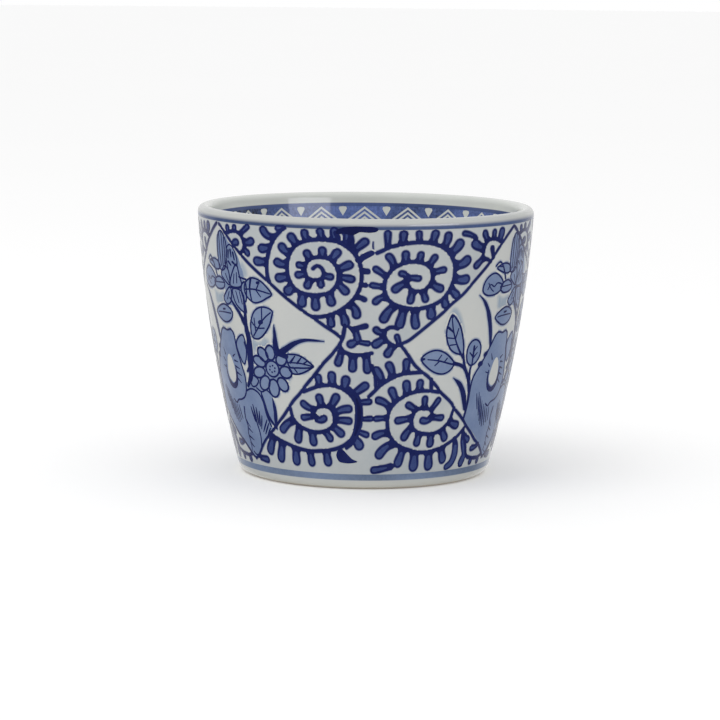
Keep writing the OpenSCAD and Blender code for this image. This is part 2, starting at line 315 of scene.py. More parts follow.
# root, tip, width, and bend where there is one
BUDS = [
    ((-13.9, 50.6), (-10.3, 50.4), 1.6), ((-15.3, 49.8), (-15, 47.7), 1.6),
    ((-18.6, 49.8), (-20.3, 47.4), 1.8), ((-20.3, 50.7), (-24.3, 50.4), 1.7),
    ((-20.3, 52.8), (-23.8, 53.1), 1.6), ((-18.6, 54.2), (-20.2, 56.5), 1.8),
    ((-14.6, 54.8), (-14.3, 57.4), 1.8), ((-11.3, 54.3), (-8.4, 56.9), 1.9),
    ((-9.3, 52.3), (-3.9, 53.8), 2), ((-9, 50.4), (-3.2, 49.9), 1.8), ((-9.2, 48.9), (-5.6, 46.5), 1.9),
    ((-12.6, 46.8), (-11.1, 43.6), 2), ((-16.9, 46.1), (-17, 42.4), 2), ((-21.8, 46.4), (-22.3, 43), 2.2),
    ((-25.8, 47.8), (-28.4, 46), 2.3), ((-26.8, 49.8), (-32, 49.4), 2.1),
    ((-26.9, 52.9), (-32.3, 53.3), 2, 0.3), ((-25.6, 55.5), (-30, 57.4), 2, 0.3),
    ((-23, 57.5), (-26, 60.1), 2), ((-18.8, 58.7), (-20.9, 61.2), 1.7, 0.2),
    ((-14.6, 59), (-15.3, 61.7), 1.6), ((-10.2, 58.9), (-10.2, 62), 1.8),
    ((-6.6, 58.2), (-5.6, 61.8), 1.6), ((-3.5, 56.5), (0.9, 59.3), 1.9), ((-2, 54.5), (2.8, 56.4), 1.1),
    ((-1.2, 52), (1.8, 51.8), 1.2), ((-1.2, 48.6), (1, 48.6), 1.1), ((-3, 46.2), (0.7, 45.2), 1.1, 0.15),
    ((-5, 44.1), (-1.9, 41), 1.9, 0.55), ((-8.6, 42.4), (-6.1, 38.9), 1.9, 0.3),
    ((-11.6, 41.6), (-11.5, 38.6), 1.8), ((-27.5, 61.3), (-31.2, 61), 1.4),
    ((-31.2, 58.9), (-37.3, 60.9), 1.9, 0.6), ((-33.3, 56.3), (-38.5, 56), 2.1),
    ((-34.9, 53.1), (-40.9, 53.1), 2.1), ((-50.6, 56), (-47.5, 57.5), 1.7, 0.3),
    ((-52.7, 59), (-53.3, 60.9), 1.4), ((-49.3, 59.4), (-48.9, 61.1), 1.5),
    ((-46.2, 58.9), (-41.9, 61.3), 1.4), ((-45, 57.1), (-39.8, 57.7), 1.9, -0.2),
    ((-45, 56), (-42.4, 54.1), 1.6), ((48.6, 54), (47.2, 56.9), 1.2), ((51.3, 57.8), (52.6, 60.9), 2),
    ((48.1, 58.4), (48.1, 60.7), 1.4), ((44.6, 58), (42.8, 60.6), 1.6),
    ((43.4, 56.6), (37.6, 58), 2.2, 0.2), ((39.6, 58.8), (33.5, 60.4), 1.3, -0.25),
    ((43.5, 54), (39.4, 51.9), 1.7), ((14.3, 50.5), (19.3, 50.1), 1.5),
    ((14.4, 50.6), (11.2, 51.8), 1.5, -0.2), ((14.1, 48.9), (8.9, 47.3), 1.9, -0.2),
    ((16.2, 47.4), (15.3, 44.2), 1.7), ((20, 47.4), (21.4, 44.5), 1.6),
    ((23, 48.9), (27.6, 47.1), 1.9, -0.2), ((23.2, 51.2), (28.4, 52.1), 1.6),
    ((21.9, 52.8), (24.3, 55.6), 1.6), ((18.1, 53.9), (18.9, 56.4), 1.6), ((13.8, 54), (13.3, 56.7), 1.7),
    ((9.7, 52.6), (7.3, 56.1), 1.7, -0.25), ((7, 50.6), (2.5, 52.9), 1.5), ((6.5, 48.4), (1.3, 48.8), 1.4),
    ((7.5, 46), (2.4, 44.6), 1.6, -0.35), ((10.6, 44), (5.5, 40.1), 2.1, -0.3),
    ((13.2, 43.5), (11.8, 38.5), 2.1), ((17.8, 43.2), (18, 38.3), 2, -0.25),
    ((22.8, 43.6), (23.9, 40.4), 2.2), ((27.6, 45.3), (29.3, 42.9), 1.9), ((30.3, 47.6), (34, 45.2), 1.9),
    ((31.4, 50.2), (38.1, 49.3), 2.2, -0.3), ((31.3, 52.8), (38, 54.2), 2.3, -0.45),
    ((29, 55.6), (34.2, 58.6), 2.3, -0.25), ((26.3, 57.1), (28.8, 60.7), 1.9, -0.25),
    ((22.2, 58), (23.8, 61.3), 1.8), ((17.6, 58.4), (17.6, 61.3), 1.4), ((12, 58), (12.6, 61.3), 1.8),
    ((7.2, 57.2), (7.2, 61.4), 1.5), ((-3.4, 38.2), (1.3, 39.4), 1.2), ((-2.6, 38.6), (-2.2, 35.3), 1.6),
    ((-3, 35.6), (2.3, 35.1), 1.3), ((-2.6, 35.7), (-6.2, 34.5), 1.9), ((-8.4, 33.2), (-9.9, 29.6), 1.8),
    ((-4.2, 32.4), (-4.4, 28.3), 2), ((0.8, 32.6), (1.3, 28), 1.9), ((13.3, 35.1), (11, 37.4), 1.3),
    ((7.2, 37.9), (2.8, 38.7), 1.6, 0.25), ((7.3, 36.2), (2.6, 34.4), 2), ((10.2, 34.7), (7.5, 31.9), 1.9),
    ((-19.4, 17.2), (-14.3, 17.1), 1.7, -0.5), ((-19.6, 17.4), (-25.6, 16.9), 1.6),
    ((-19, 19), (-25.2, 20.7), 1.8, 0.2), ((-16.6, 20), (-17.6, 23), 1.9), ((-13, 19.7), (-9.8, 23.2), 2),
    ((-11.6, 18.4), (-4.4, 20), 1.9, 0.35), ((-11.5, 17), (-4.3, 16.7), 1.8, 0.1),
    ((-12.4, 15.2), (-7.8, 13), 2), ((-15.4, 14.1), (-12.7, 11.6), 1.8),
    ((-20.7, 13.8), (-20.7, 10.2), 2.1), ((-26.6, 14.9), (-28.2, 10.6), 2.2),
    ((-29.5, 16), (-36, 13.1), 2.1, -0.3), ((-17, 25), (-17.4, 27.8), 1.7), ((-12, 25), (-12.1, 28.5), 2),
    ((-7, 24.3), (-6.5, 27.6), 2.1), ((-4.2, 23), (1.7, 25.8), 2), ((-2.7, 21.2), (3.2, 21.5), 1.5),
    ((-2.2, 17.3), (4, 17.4), 1.3), ((-2.8, 14.4), (2.3, 13.2), 1.5), ((-4.5, 12.5), (-0.4, 10), 2.4, 0.2),
    ((-15.5, 9.4), (-14.9, 5.5), 2.2), ((-23, 9.1), (-22.3, 5.2), 2), ((-29.5, 9.6), (-30, 5.1), 2.4),
    ((-35.7, 10.7), (-38.3, 5.4), 2.4), ((-40.8, 11.2), (-44.2, 7), 2.4),
    ((-51.5, 5.9), (-44.8, 5.5), 1.7, -0.1), ((27.3, 16.9), (22.4, 16.4), 1.7, 0.4),
    ((27.8, 17.3), (33.5, 16.9), 1.6), ((27, 19.2), (30.5, 21.9), 1.5), ((24, 19.4), (23.8, 22.6), 1.6),
    ((20.6, 19.2), (16.1, 20.9), 1.7), ((19.5, 17.2), (12, 16.7), 1.8), ((19.6, 15), (15.5, 12), 2, -0.2),
    ((22.6, 13.7), (22, 10.3), 1.9), ((28, 13.2), (28.5, 9.8), 2.1), ((33.5, 13.9), (36, 11.1), 2),
    ((36.6, 15.8), (41.6, 14.3), 2, -0.2), ((21.4, 23.7), (21.3, 26.6), 1.8),
    ((16.4, 22.9), (15.6, 26.5), 2), ((12.3, 21.4), (9.8, 24.9), 1.9),
    ((9.8, 19.8), (4.3, 22.3), 1.8, -0.35), ((9.3, 17.4), (3.5, 17.3), 1.4),
    ((9.8, 13.6), (3.1, 13), 1.9, -0.3), ((13.2, 11.4), (5, 8), 2.3, -0.5),
    ((16.4, 9.8), (14.2, 5.4), 2.3), ((13, 5.9), (3, 4.7), 1.8, 0.1), ((21.9, 8.9), (22, 4.2), 2.6),
    ((28.4, 8.9), (29.3, 4.2), 2.5, -0.15), ((34.4, 9.6), (36.6, 5.6), 2.3, -0.15),
    ((48, 7.5), (46.8, 4.1), 2.2), ((54, 5.8), (54.3, 4.2), 1.6), ((60, 5.5), (60.5, 4), 1.6),
    ((57.5, 9.2), (51.6, 8.2), 1.5, 0.3), ((46.3, 12.3), (50, 10.2), 1.7), ((6, 26), (3.6, 29.8), 2, -0.3),
    ((10.2, 27.2), (8.6, 31), 1.9, -0.25), ((15.4, 27.8), (15.4, 31.7), 1.8)]

# A closed area of full outline colour.
WEDGE = [
    (-10.4, 9.7), (-11.4, 8.4), (-10.4, 6.9), (-8, 6.5), (-5, 6.5), (-2.4, 6.9), (-4.6, 7.5), (-6.6, 8.6),
    (-8.6, 9.8)]
# widths, points: the two long waving arms at the lower right
ARMS = [
    ((1.0, 1.9, 2.2, 2.1, 1.7), [(40.4, 11.6), (41.9, 9.4), (42.2, 7.2), (41, 5.5), (38.8, 4.7)]),
    ((0.9, 1.7, 1.9, 1.8, 1.5), [(44.8, 12.8), (46, 10.5), (47.9, 8.2), (48.6, 6.5), (47.3, 5)]),
]
HOURGLASS = [
    (-59, 61.3), (-58.5, 60.6), (-44, 52.8), (-34.5, 48.4), (-26, 44.2), (-18, 40.8), (-11, 37.8),
    (-8.1, 35.7), (-12, 32.2), (-18, 27.8), (-25, 22.7), (-33, 17.2), (-42, 12), (-49, 7.9), (-54.3, 5.2),
    (-54.3, 3.8), (65.5, 3.8), (65.5, 5.3), (58, 8.9), (50, 12.3), (44, 15.6), (36, 20.3), (28.5, 24.4),
    (21.5, 28.3), (16, 32.2), (12.9, 35), (20, 37.9), (28, 42), (36.5, 46.5), (43, 50.6), (49, 54.6),
    (59.5, 60.8), (59.7, 61.3)]
# Front only: where the ends of the print overlap and the colour ran.
SMEAR = [
    (-9.6, 61.1), (-7.6, 61.8), (-4, 62.1), (0, 62.1), (3, 62.0), (4.2, 61.5), (3.4, 60.9), (1, 60.7),
    (-2, 60.8), (-4, 60.1), (-7, 60.4), (-9.4, 60.3)]
# widths, points, tone
SMEAR_STROKES = [
    ((1.0, 1.1, 0.8), [(-9.8, 60.6), (-8.9, 59.4), (-8.7, 58.4)], "dark"),
    ((1.1, 1.2, 0.9), [(-5, 60.6), (-4.7, 59.4), (-4.2, 57.6)], "dark"),
    ((1.0, 1.2, 0.9), [(-2.6, 54.4), (0.2, 55.6), (2.2, 56.2)], "dark"),
    ((0.8, 1.5, 1.9, 1.9, 1.6, 0.8), [
        (-5.6, 24.6), (-2.8, 22.4), (-1.9, 19), (-2.3, 15.4), (-4.4, 12), (-7, 10.2)], "dark"),
    ((0.5, 0.9, 0.9, 0.5), [(-2.8, 22.0), (-1.8, 19), (-2.1, 16), (-3.4, 13.4)], "dense"),
    ((0.15, 0.25, 0.15), [(2.5, 58.6), (2.4, 57.8), (2.6, 57)], "dark"),
]


# ---------------------------------------------------------------- the flower lozenge
# Degrees from the middle of the lozenge, height in millimetres.

# Closed shapes of pale wash with a drawn outline.
LEAVES = {
    "top right": [
        (26.2, 45.6), (24, 47.4), (21, 48.7), (17.5, 49), (14.6, 47.8), (13.8, 46), (15, 44.4), (18, 43.3),
        (21, 43.6), (24, 44.6)],
    "upright": [
        (26, 41.7), (23.6, 42.4), (20.6, 42.3), (17.8, 41.2), (15.8, 39), (15.2, 36.6), (15.9, 35),
        (18.6, 34.8), (21.5, 36), (24.3, 38.3), (25.6, 40.4)],
    "veined right": [
        (30.6, 31.5), (33, 31.9), (36, 31.7), (38.8, 30.7), (41.2, 29.3), (38.5, 28.9), (35, 28.8),
        (31.6, 28.9)],
    "veined right, under": [
        (31.4, 28.6), (33, 27.3), (36.5, 27.6), (40.6, 29.1), (36, 29)],
    "left pair, far": [
        (-15.3, 46.5), (-14.5, 48.5), (-12, 49.9), (-9, 50.2), (-6, 49.1), (-4.2, 47.7), (-5.5, 46.1),
        (-8, 45.3), (-11, 45.1), (-13.6, 45.4)],
    "left pair, near": [
        (-5.6, 46.8), (-3.5, 47.9), (-0.5, 48.2), (2.3, 47), (1.5, 45.8), (-1.5, 45.3), (-4.2, 45.6)],
    "middle": [
        (-6.5, 39.6), (-4, 41), (0, 41.8), (3.5, 41.3), (5.6, 40), (4, 38.4), (0.5, 37.6), (-3, 38)],
    "bud": [
        (-19.6, 31.2), (-19.4, 33.3), (-17.5, 34.8), (-15, 34.8), (-13, 33.5), (-12.6, 31.5), (-14, 29.8),
        (-16.5, 28.9), (-18.6, 29.6)],
    "upright left": [
        (-28.1, 41.3), (-26, 40.2), (-24, 38.3), (-22.6, 36), (-21.6, 33.5), (-21.6, 31.8), (-23.3, 31.9),
        (-25.3, 32.3), (-27.4, 33.2), (-29, 34.9), (-29.8, 37), (-29.5, 39)],
    "low left": [
        (-39, 31.2), (-37, 32.6), (-33.5, 33.2), (-30, 32.6), (-27, 31.2), (-25.2, 29.8), (-26.5, 28.3),
        (-29.5, 27.5), (-33, 27.9), (-36.5, 29.3)],
    "bell": [
        (-0.4, 50.6), (-0.7, 54), (-0.2, 57.4), (1.4, 59), (3.2, 58.9), (5, 57), (5.3, 54.5), (4.5, 52),
        (3.4, 50.4), (1.4, 49.9)],
    "bell leaf": [
        (-8.6, 51.4), (-5, 52.3), (-1.6, 52), (0.4, 50.6), (-2.2, 49.9), (-5.6, 50.4)],
    "star petal 1": [
        (5.4, 46.2), (2.2, 44.5), (0.7, 43.2), (2.6, 42), (5.3, 42.7), (6.3, 45)],
    "star petal 2": [
        (7.2, 45.8), (7.9, 43), (10.4, 41.4), (13.6, 40.6), (13.4, 43), (12.1, 45.6)],
    "star petal 3": [
        (6, 46.7), (7.2, 49), (10.4, 51.8), (11.7, 49.2), (12.5, 47), (9.4, 46.3)],
    "star petal 4": [
        (5.4, 46.7), (2.4, 47.7), (0.6, 49), (3.2, 51), (5.2, 50.4), (6, 48.6)],
    "star petal 5": [
        (12.6, 47.2), (14.6, 47.8), (14.7, 45), (13.8, 43.2), (12.2, 45.2)],
    "side leaf": [
        (10.4, 35.1), (7.4, 34.4), (5.6, 32.6), (7, 29.8), (9, 28.2), (10.8, 30), (11.4, 32.6)],
    "low leaf": [
        (11.4, 25.2), (13.6, 25.8), (16, 24.8), (14.4, 23.4), (12, 23.2)],
}

# Wash with no outline of its own.
CLOUDS = [
    [
        (-15.2, 15.6), (-15.4, 20), (-15, 24.6), (-13.6, 27), (-11.5, 28.6), (-9, 31), (-6.6, 33.2),
        (-4.6, 35.2), (-2.6, 36), (0.4, 35.9), (3, 36), (4.7, 34.8), (5.3, 31.8), (7.1, 28), (8.3, 24.6),
        (8.2, 22), (10, 22.3), (12.6, 22.3), (15.4, 21.5), (17, 19.6), (17.9, 16.4), (20, 13.4), (17, 11),
        (12, 8), (8.5, 6.1), (6, 5.4), (3, 6.6), (-2, 9.1), (-8, 12)],
    [
        (16.8, 22.2), (19.6, 22.6), (22.2, 21.2), (23, 18), (22.6, 15), (21, 14.4), (19, 16.2),
        (17.8, 18.8)],
    [
        (9.4, 23.4), (12, 26.6), (14.6, 27), (16, 25.6), (17.8, 21.4), (14, 21.4), (10.4, 21.6)],
    [
        (0.6, 51), (5.6, 50.4), (8, 48.6), (7, 46), (3.6, 47.6)],
    [
        (5, 58), (7.4, 56), (10.6, 54.4), (12.6, 52), (13, 49), (9, 50), (5, 51), (4.6, 54)],
    [
        (2.2, 50.4), (5.4, 52), (13, 51.2), (13.6, 46), (11.2, 42.4), (7.2, 41.8), (3.2, 43.2)],
    [
        (30.6, 28.4), (31, 31.4), (28.8, 32), (27, 29)]]

# Soft clouds of thin wash that fade out at the edge.
VEILS = [
    [
        (14, 33.8), (15, 35.4), (18.4, 34.4), (21.6, 35.6), (24.4, 34.6), (22, 32.6), (17.6, 32),
        (14.2, 28.6)],
    [
        (12.8, 45), (13.8, 48), (16.6, 49.4), (15, 52.4), (12.4, 53), (12.6, 48)],
    [
        (-7, 45.4), (-3, 44.6), (1, 45), (4, 42.4), (3.6, 40.6), (-1, 41.4), (-4.4, 41.2), (-6.6, 41.8)],
    [
        (-31.4, 38), (-29.4, 42.4), (-26.6, 43.4), (-23.4, 40.8), (-21, 36), (-24.6, 38.4), (-27.8, 40.6),
        (-29.6, 37)],
    [
        (26, 22.4), (29.4, 23.4), (33, 26.4), (31, 27.2), (28, 23.6), (23, 21.4)]]

# Brushed lines by what they draw: widths from end to end, points.
FLOWER_STROKES = {
    "rock": [
        ((0.5, 0.45), [
            (-15.3, 20), (-15.1, 24.6), (-13.8, 26.8), (-11.6, 28.6), (-9, 31), (-6.8, 33.2), (-5, 35),
            (-3, 36), (0.2, 35.7), (3, 36), (4.7, 34.8), (5.3, 31.8), (7.1, 28), (8.3, 24.8), (7.8, 22),
            (6, 20.2), (3.4, 19.4), (0.4, 19), (-1.4, 18.2), (-3.4, 18.9)]),
        ((1.3, 1.3), [(-12, 28.9), (-11.2, 29)]), ((1.1, 1.1), [(-9.6, 31), (-9, 31.3)]),
        ((0.45, 0.45), [
            (8.2, 21.8), (10, 22.3), (12.6, 22.4), (15.4, 21.5), (17, 19.6), (17.9, 16.6), (19.6, 14)]),
        ((0.45, 0.4), [(10.6, 16), (11.4, 13.8), (12.2, 11.4), (11.6, 8.8), (9.8, 7), (7, 6.2), (5, 6.9)]),
        ((0.5, 0.3), [(4.1, 17.6), (3.5, 15), (4.3, 13), (3.5, 11), (4.2, 9), (3.7, 7)]),
        ((0.5, 0.2), [(3.8, 14.4), (6, 12.8)]), ((0.5, 0.2), [(4, 12.6), (7, 11.6)]),
        ((0.5, 0.2), [(3.8, 10.6), (7, 9.8)]), ((0.5, 0.2), [(4, 9), (6.2, 8)]),
        ((0.3, 0.6, 0.35), [(9, 18), (10.4, 14.6)]), ((0.3, 0.6, 0.35), [(10.4, 18.6), (11.4, 14.2)]),
        ((0.3, 0.65, 0.35), [(12.2, 18), (12.3, 14)]), ((0.3, 0.6, 0.35), [(13.8, 17.2), (13, 13.6)]),
        ((0.3, 0.5, 0.3), [(15, 16.2), (13.6, 13)]), ((0.3, 0.5, 0.3), [(14.6, 12.4), (17.6, 15.4)]),
        ((0.3, 0.5, 0.3), [(15.6, 11.9), (18.3, 14.6)]), ((0.3, 0.5, 0.3), [(16.8, 11.6), (18.9, 13.5)]),
        ((0.2, 0.45, 0.3), [(-10.8, 21.8), (-8.9, 18)]), ((0.2, 0.5, 0.3), [(-9.4, 22), (-7.3, 16.4)]),
        ((0.2, 0.5, 0.3), [(-7.9, 21), (-5.9, 15)]), ((0.2, 0.55, 0.3), [(-6.4, 19.8), (-4.6, 14)]),
        ((0.2, 0.55, 0.3), [(-4.8, 18.8), (-3.1, 13.4)]), ((0.2, 0.5, 0.3), [(-3.3, 18.2), (-1.6, 13.6)]),
        ((0.2, 0.45, 0.3), [(-1.7, 17.8), (-0.3, 14.2)]), ((0.2, 0.45, 0.3), [(0, 17.8), (1.2, 14.6)]),
    ],
    "hole in the rock": [
        ((0.35, 0.7, 1.25, 1.3, 0.8, 0.35), [
            (-5.5, 27), (-5.5, 25), (-4.4, 23.2), (-2.2, 22.3), (0, 22.4), (1.8, 23.5), (2.7, 25.2),
            (2.6, 27.4)]),
        ((0.5, 0.2), [(2.6, 28.6), (4.8, 28.4)]), ((0.5, 0.2), [(3, 27.2), (5.4, 26.8)]),
        ((0.5, 0.2), [(3.2, 25.8), (6, 25.2)]), ((0.5, 0.2), [(2.9, 24.4), (5.2, 23.4)]),
        ((0.5, 0.2), [(1.9, 29.6), (3.6, 30.2)]), ((0.4, 0.2), [(-5.6, 26.4), (-7.6, 26.8)]),
        ((0.4, 0.2), [(-5.4, 28), (-6.8, 28.8)]), ((0.4, 0.2), [(-4.4, 29.6), (-5.4, 31)]),
    ],
    "trunk and branches": [
        ((0.6, 0.8, 1.2, 1.6, 2.0, 2.0, 1.5, 0.8), [
            (13, 44.6), (13.1, 41), (12.7, 37.6), (13.5, 34.4), (13.2, 31), (12.8, 28), (12, 25.4),
            (9.4, 23)]),
        ((0.5, 0.9, 1.3), [(5, 43.6), (7.6, 41.8), (10, 40.2), (12.2, 38)]),
        ((0.6, 1.4), [(10.8, 33.4), (12.4, 31.4)]), ((0.6, 1.0), [(10.4, 26.6), (12.4, 27.8)]),
        ((0.8, 0.9, 0.7), [
            (-25.2, 29.9), (-21.6, 29.1), (-19.4, 28), (-17.5, 26), (-16.1, 23.6), (-15.5, 21),
            (-15.8, 18), (-16.2, 16.4)]),
        ((0.6, 0.8), [(-21.4, 32), (-20.4, 29.6), (-19, 27.6)]),
        ((0.5, 0.8), [(-16.4, 29), (-17, 27.6), (-16.6, 25.4)]),
    ],
    "blades of grass": [
        ((0.2, 0.9, 1.3, 1.2, 0.8), [
            (-16.6, 45.4), (-14, 44), (-11.4, 41.6), (-9.4, 38.6), (-8, 35.6), (-7.2, 33)]),
        ((0.2, 1.2, 1.5, 0.9), [(-24.6, 26.3), (-21, 24.5), (-18.3, 21.8), (-16.6, 18.5)]),
        ((0.2, 0.8, 1.4, 1.9), [(26.2, 38.5), (26.3, 36), (26.2, 33.8), (26.6, 32)]),
        ((1.7, 1.3, 0.9, 0.6, 0.2), [(28.2, 32), (31, 33.2), (34.5, 34.6), (39, 35.5), (45.6, 35.4)]),
        ((1.5, 1.3), [(27.6, 31.9), (30.4, 31.3)]),
        ((0.4, 0.9, 0.9, 0.6), [(16.6, 22), (17.5, 19.2), (18.8, 16.4), (21.6, 14.2)]),
        ((0.3, 1.0, 1.1, 0.5), [(22.2, 20.8), (22.7, 18), (22.4, 15.4), (22.4, 13.6)]),
        ((0.4, 0.4), [(14.4, 22.9), (17, 22.1), (19.6, 22.7), (22.2, 21.6)]),
        ((0.45, 0.5), [(-9.6, 51.9), (-7.5, 52.8), (-6, 52.2), (-4.4, 50.8), (-2.9, 48.6)]),
        ((0.3, 0.4), [(-7.6, 51.7), (-5.4, 51.6)]),
    ],
    "veins": [
        ((0.4, 0.35), [(14.4, 46.2), (19, 46.4), (25.4, 45.7)]),
        ((0.6, 0.4), [(17.3, 48.8), (16.5, 46.4), (17, 43.8)]),
        ((0.35, 0.3), [(19.6, 46.4), (21.2, 48.2)]), ((0.35, 0.3), [(19.4, 46.3), (21.4, 44.8)]),
        ((0.7, 0.7), [(20.2, 48), (20.9, 48.1)]), ((0.4, 0.5), [(11.4, 48.9), (14.8, 48.5)]),
        ((0.35, 0.4), [(25.2, 41.3), (22, 39.7), (19, 37.4), (16.4, 35.4)]),
        ((0.35, 0.35), [(21.4, 42.2), (21, 39.2)]),
        ((0.35, 0.35), [(16, 38.7), (18.2, 37.4), (21.8, 37.5)]), ((1.1, 1.0), [(20, 38.7), (20.8, 38.9)]),
        ((0.35, 0.3), [(17.6, 36.6), (17.4, 39.6)]),
        ((0.35, 0.35), [(31, 29.9), (36, 29.9), (40.6, 29.4)]), ((0.6, 0.3), [(32, 29.9), (34, 31.5)]),
        ((0.5, 0.3), [(34.8, 29.9), (36.6, 31.3)]), ((0.4, 0.3), [(37.4, 29.9), (38.8, 30.5)]),
        ((0.35, 0.3), [(33, 28.9), (34.6, 27.7)]),
        ((0.35, 0.4), [(-12.8, 46.6), (-11.4, 47.7), (-9.4, 47.1), (-7.6, 47.9), (-4.6, 47.4)]),
        ((0.3, 0.3), [(-12.6, 48), (-11, 46.6), (-9.6, 46)]), ((0.3, 0.3), [(-5, 46.8), (1.8, 47)]),
        ((0.3, 0.35), [(-5, 39.7), (-1, 39.9), (4.4, 39.9)]), ((0.5, 0.5), [(-0.8, 40.6), (0.6, 40.7)]),
        ((0.45, 0.6), [(-16.3, 29.2), (-16.3, 33.4)]), ((0.5, 0.3), [(-16.3, 30.6), (-14.4, 31.8)]),
        ((0.5, 0.3), [(-16.4, 31), (-18.2, 32)]), ((0.4, 0.3), [(-16.3, 32.2), (-14.8, 33.3)]),
        ((0.6, 0.6), [(-28.1, 41.2), (-27.9, 40.8)]),
        ((0.3, 0.4, 0.6), [(-28, 40.4), (-27, 37.6), (-25.4, 35), (-23.4, 32.7), (-21.4, 31)]),
        ((0.6, 0.35), [(-29.2, 38.4), (-26.7, 37.1)]), ((0.35, 0.3), [(-29.2, 36), (-25.9, 35.7)]),
        ((0.35, 0.3), [(-25.8, 35.6), (-24.8, 38)]), ((0.35, 0.3), [(-27.8, 34.2), (-24.8, 34.3)]),
        ((0.3, 0.4, 0.5), [(-36.4, 31.1), (-32, 30.7), (-27, 29.8), (-23, 29.3)]),
        ((0.35, 0.3), [(-32.4, 30.7), (-31, 32)]), ((0.4, 0.3), [(-31.6, 30.6), (-33.4, 29.6)]),
        ((0.35, 0.3), [(-29.6, 30.3), (-28.4, 31.2)]), ((0.7, 0.5), [(-38.6, 31.2), (-37.8, 31.3)]),
    ],
    "bell and star": [
        ((0.35, 0.35), [(1, 58.6), (0.9, 54.6), (1.2, 51)]),
        ((0.35, 0.35), [(2.5, 58.8), (2.7, 54.8), (2.4, 51)]),
        ((0.35, 0.35), [(3.9, 57.6), (4.1, 54.6), (3.7, 51.6)]), ((0.6, 0.4), [(6.4, 54.8), (6, 53)]),
        ((0.6, 0.4), [(7.6, 55), (7.9, 53.4)]), ((0.6, 0.4), [(9, 54.4), (9.6, 52.8)]),
        ((0.6, 0.4), [(6, 52.2), (7.4, 51.4)]), ((0.6, 0.4), [(8.4, 52.2), (10.4, 51.4)]),
        ((0.35, 0.35), [
            (5.4, 50.6), (4.9, 53), (5.6, 55.4), (7.6, 56.2), (9.8, 55), (11, 53), (10.9, 51.4)]),
        ((0.5, 0.5), [(5.6, 46.1), (8.6, 46.2), (12, 46.4)]), ((0.3, 0.3), [(5.2, 47.2), (3.4, 49.2)]),
        ((0.3, 0.3), [(4.8, 45), (3.2, 43.2)]), ((0.3, 0.3), [(9, 45.4), (10.2, 42.8)]),
        ((0.3, 0.3), [(11, 45.4), (12, 42.6)]), ((0.3, 0.3), [(8, 47.2), (8.8, 49.4)]),
        ((0.3, 0.3), [(10, 47.4), (10.2, 49.8)]),
    ],
}

DAISY = (23.8, 28)
DAISY_HEART = 1.9
# middle, half length, half width of each petal, in millimetres
PETALS = [
    ((28.2, 30.4), 1.4, 1.15), ((29.7, 27.5), 1.5, 1.2), ((27.9, 24.5), 1.6, 1.15), ((23.6, 23.4), 2.0, 1.35),
    ((19.3, 24.4), 1.8, 1.25), ((17.1, 26.8), 1.8, 1.1), ((17.7, 29.4), 1.8, 1.0), ((19.9, 31.2), 1.7, 1.1),
    ((23.5, 31.8), 1.6, 1.15)]
HOLE = [
    (-1.2, 29.9), (0.5, 29.1), (1.7, 27), (1.9, 25), (0.9, 23.6), (-1, 23.1), (-3.2, 23.7), (-4.5, 25),
    (-4.1, 27), (-2.9, 29.1)]


def oval(centre, toward, half_length, half_width, count=14):
    """An oval on the flat sheet, its long axis pointing at another place."""
    dx, dy = toward[0] - centre[0], toward[1] - centre[1]
    run = math.hypot(dx, dy) or 1
    ux, uy = dx / run, dy / run
    ring = []
    for k in range(count):
        a = math.tau * k / count
        along, across = half_length * math.cos(a), half_width * math.sin(a)
        ring.append((centre[0] + ux * along - uy * across, centre[1] + uy * along + ux * across))
    return ring


def draw_flowers(sheet):
    """The lozenge: rock with a hole, trunk, leaves, a daisy, a bell and a star flower."""
    for cloud in CLOUDS:
        sheet.patch(cloud, "wash")
    for veil in VEILS:
        sheet.veil(veil)
    for leaf in LEAVES.values():
        sheet.ring(sheet.curve(leaf, True), LEAF_LINE)
    for strokes in FLOWER_STROKES.values():
        for widths, points in strokes:
            sheet.line(points, *widths)
    draw_daisy(sheet)
    sheet.patch(HOLE, None, GAP)


def draw_daisy(sheet):
    """Overlapping petals round a dotted heart."""
    heart = sheet.spot(DAISY)
    aside = (heart[0] + 1, heart[1])
    sheet.add(WASH, "wash", oval(heart, aside, 3.5, 3.4, 24))
    for centre, half_length, half_width in PETALS:
        sheet.ring(oval(sheet.spot(centre), heart, half_length + 0.15, half_width + 0.2), 0.48)
    sheet.ring(oval(heart, aside, DAISY_HEART, DAISY_HEART, 18), 0.46)
    for k in range(6):
        a = math.tau * (k + 0.3) / 6
        dot = (heart[0] + 0.8 * math.cos(a), heart[1] + 0.8 * math.sin(a))
        sheet.add(LINE, "dark", oval(dot, heart, 0.26, 0.26, 6))


# ---------------------------------------------------------------- sizes and colours for the sidebar

def length(name, description, default):
    return bpy.props.FloatProperty(
        name=name, description=description, default=default, precision=5, unit="LENGTH", subtype="DISTANCE")


def colour(name, description, default):
    return bpy.props.FloatVectorProperty(
        name=name, description=description, default=default, size=3, min=0, max=1, subtype="COLOR")


def angle(name, description, degrees):
    return bpy.props.FloatProperty(
        name=name, description=description, default=math.radians(degrees), subtype="ANGLE")


def number(name, description, default):
    return bpy.props.FloatProperty(name=name, description=description, default=default)


FOOT_LINE_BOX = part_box("foot_line")
RIM_LINE_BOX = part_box("rim_line")
INNER_LINE_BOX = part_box("inner_line")
BAND_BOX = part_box("inner_band")


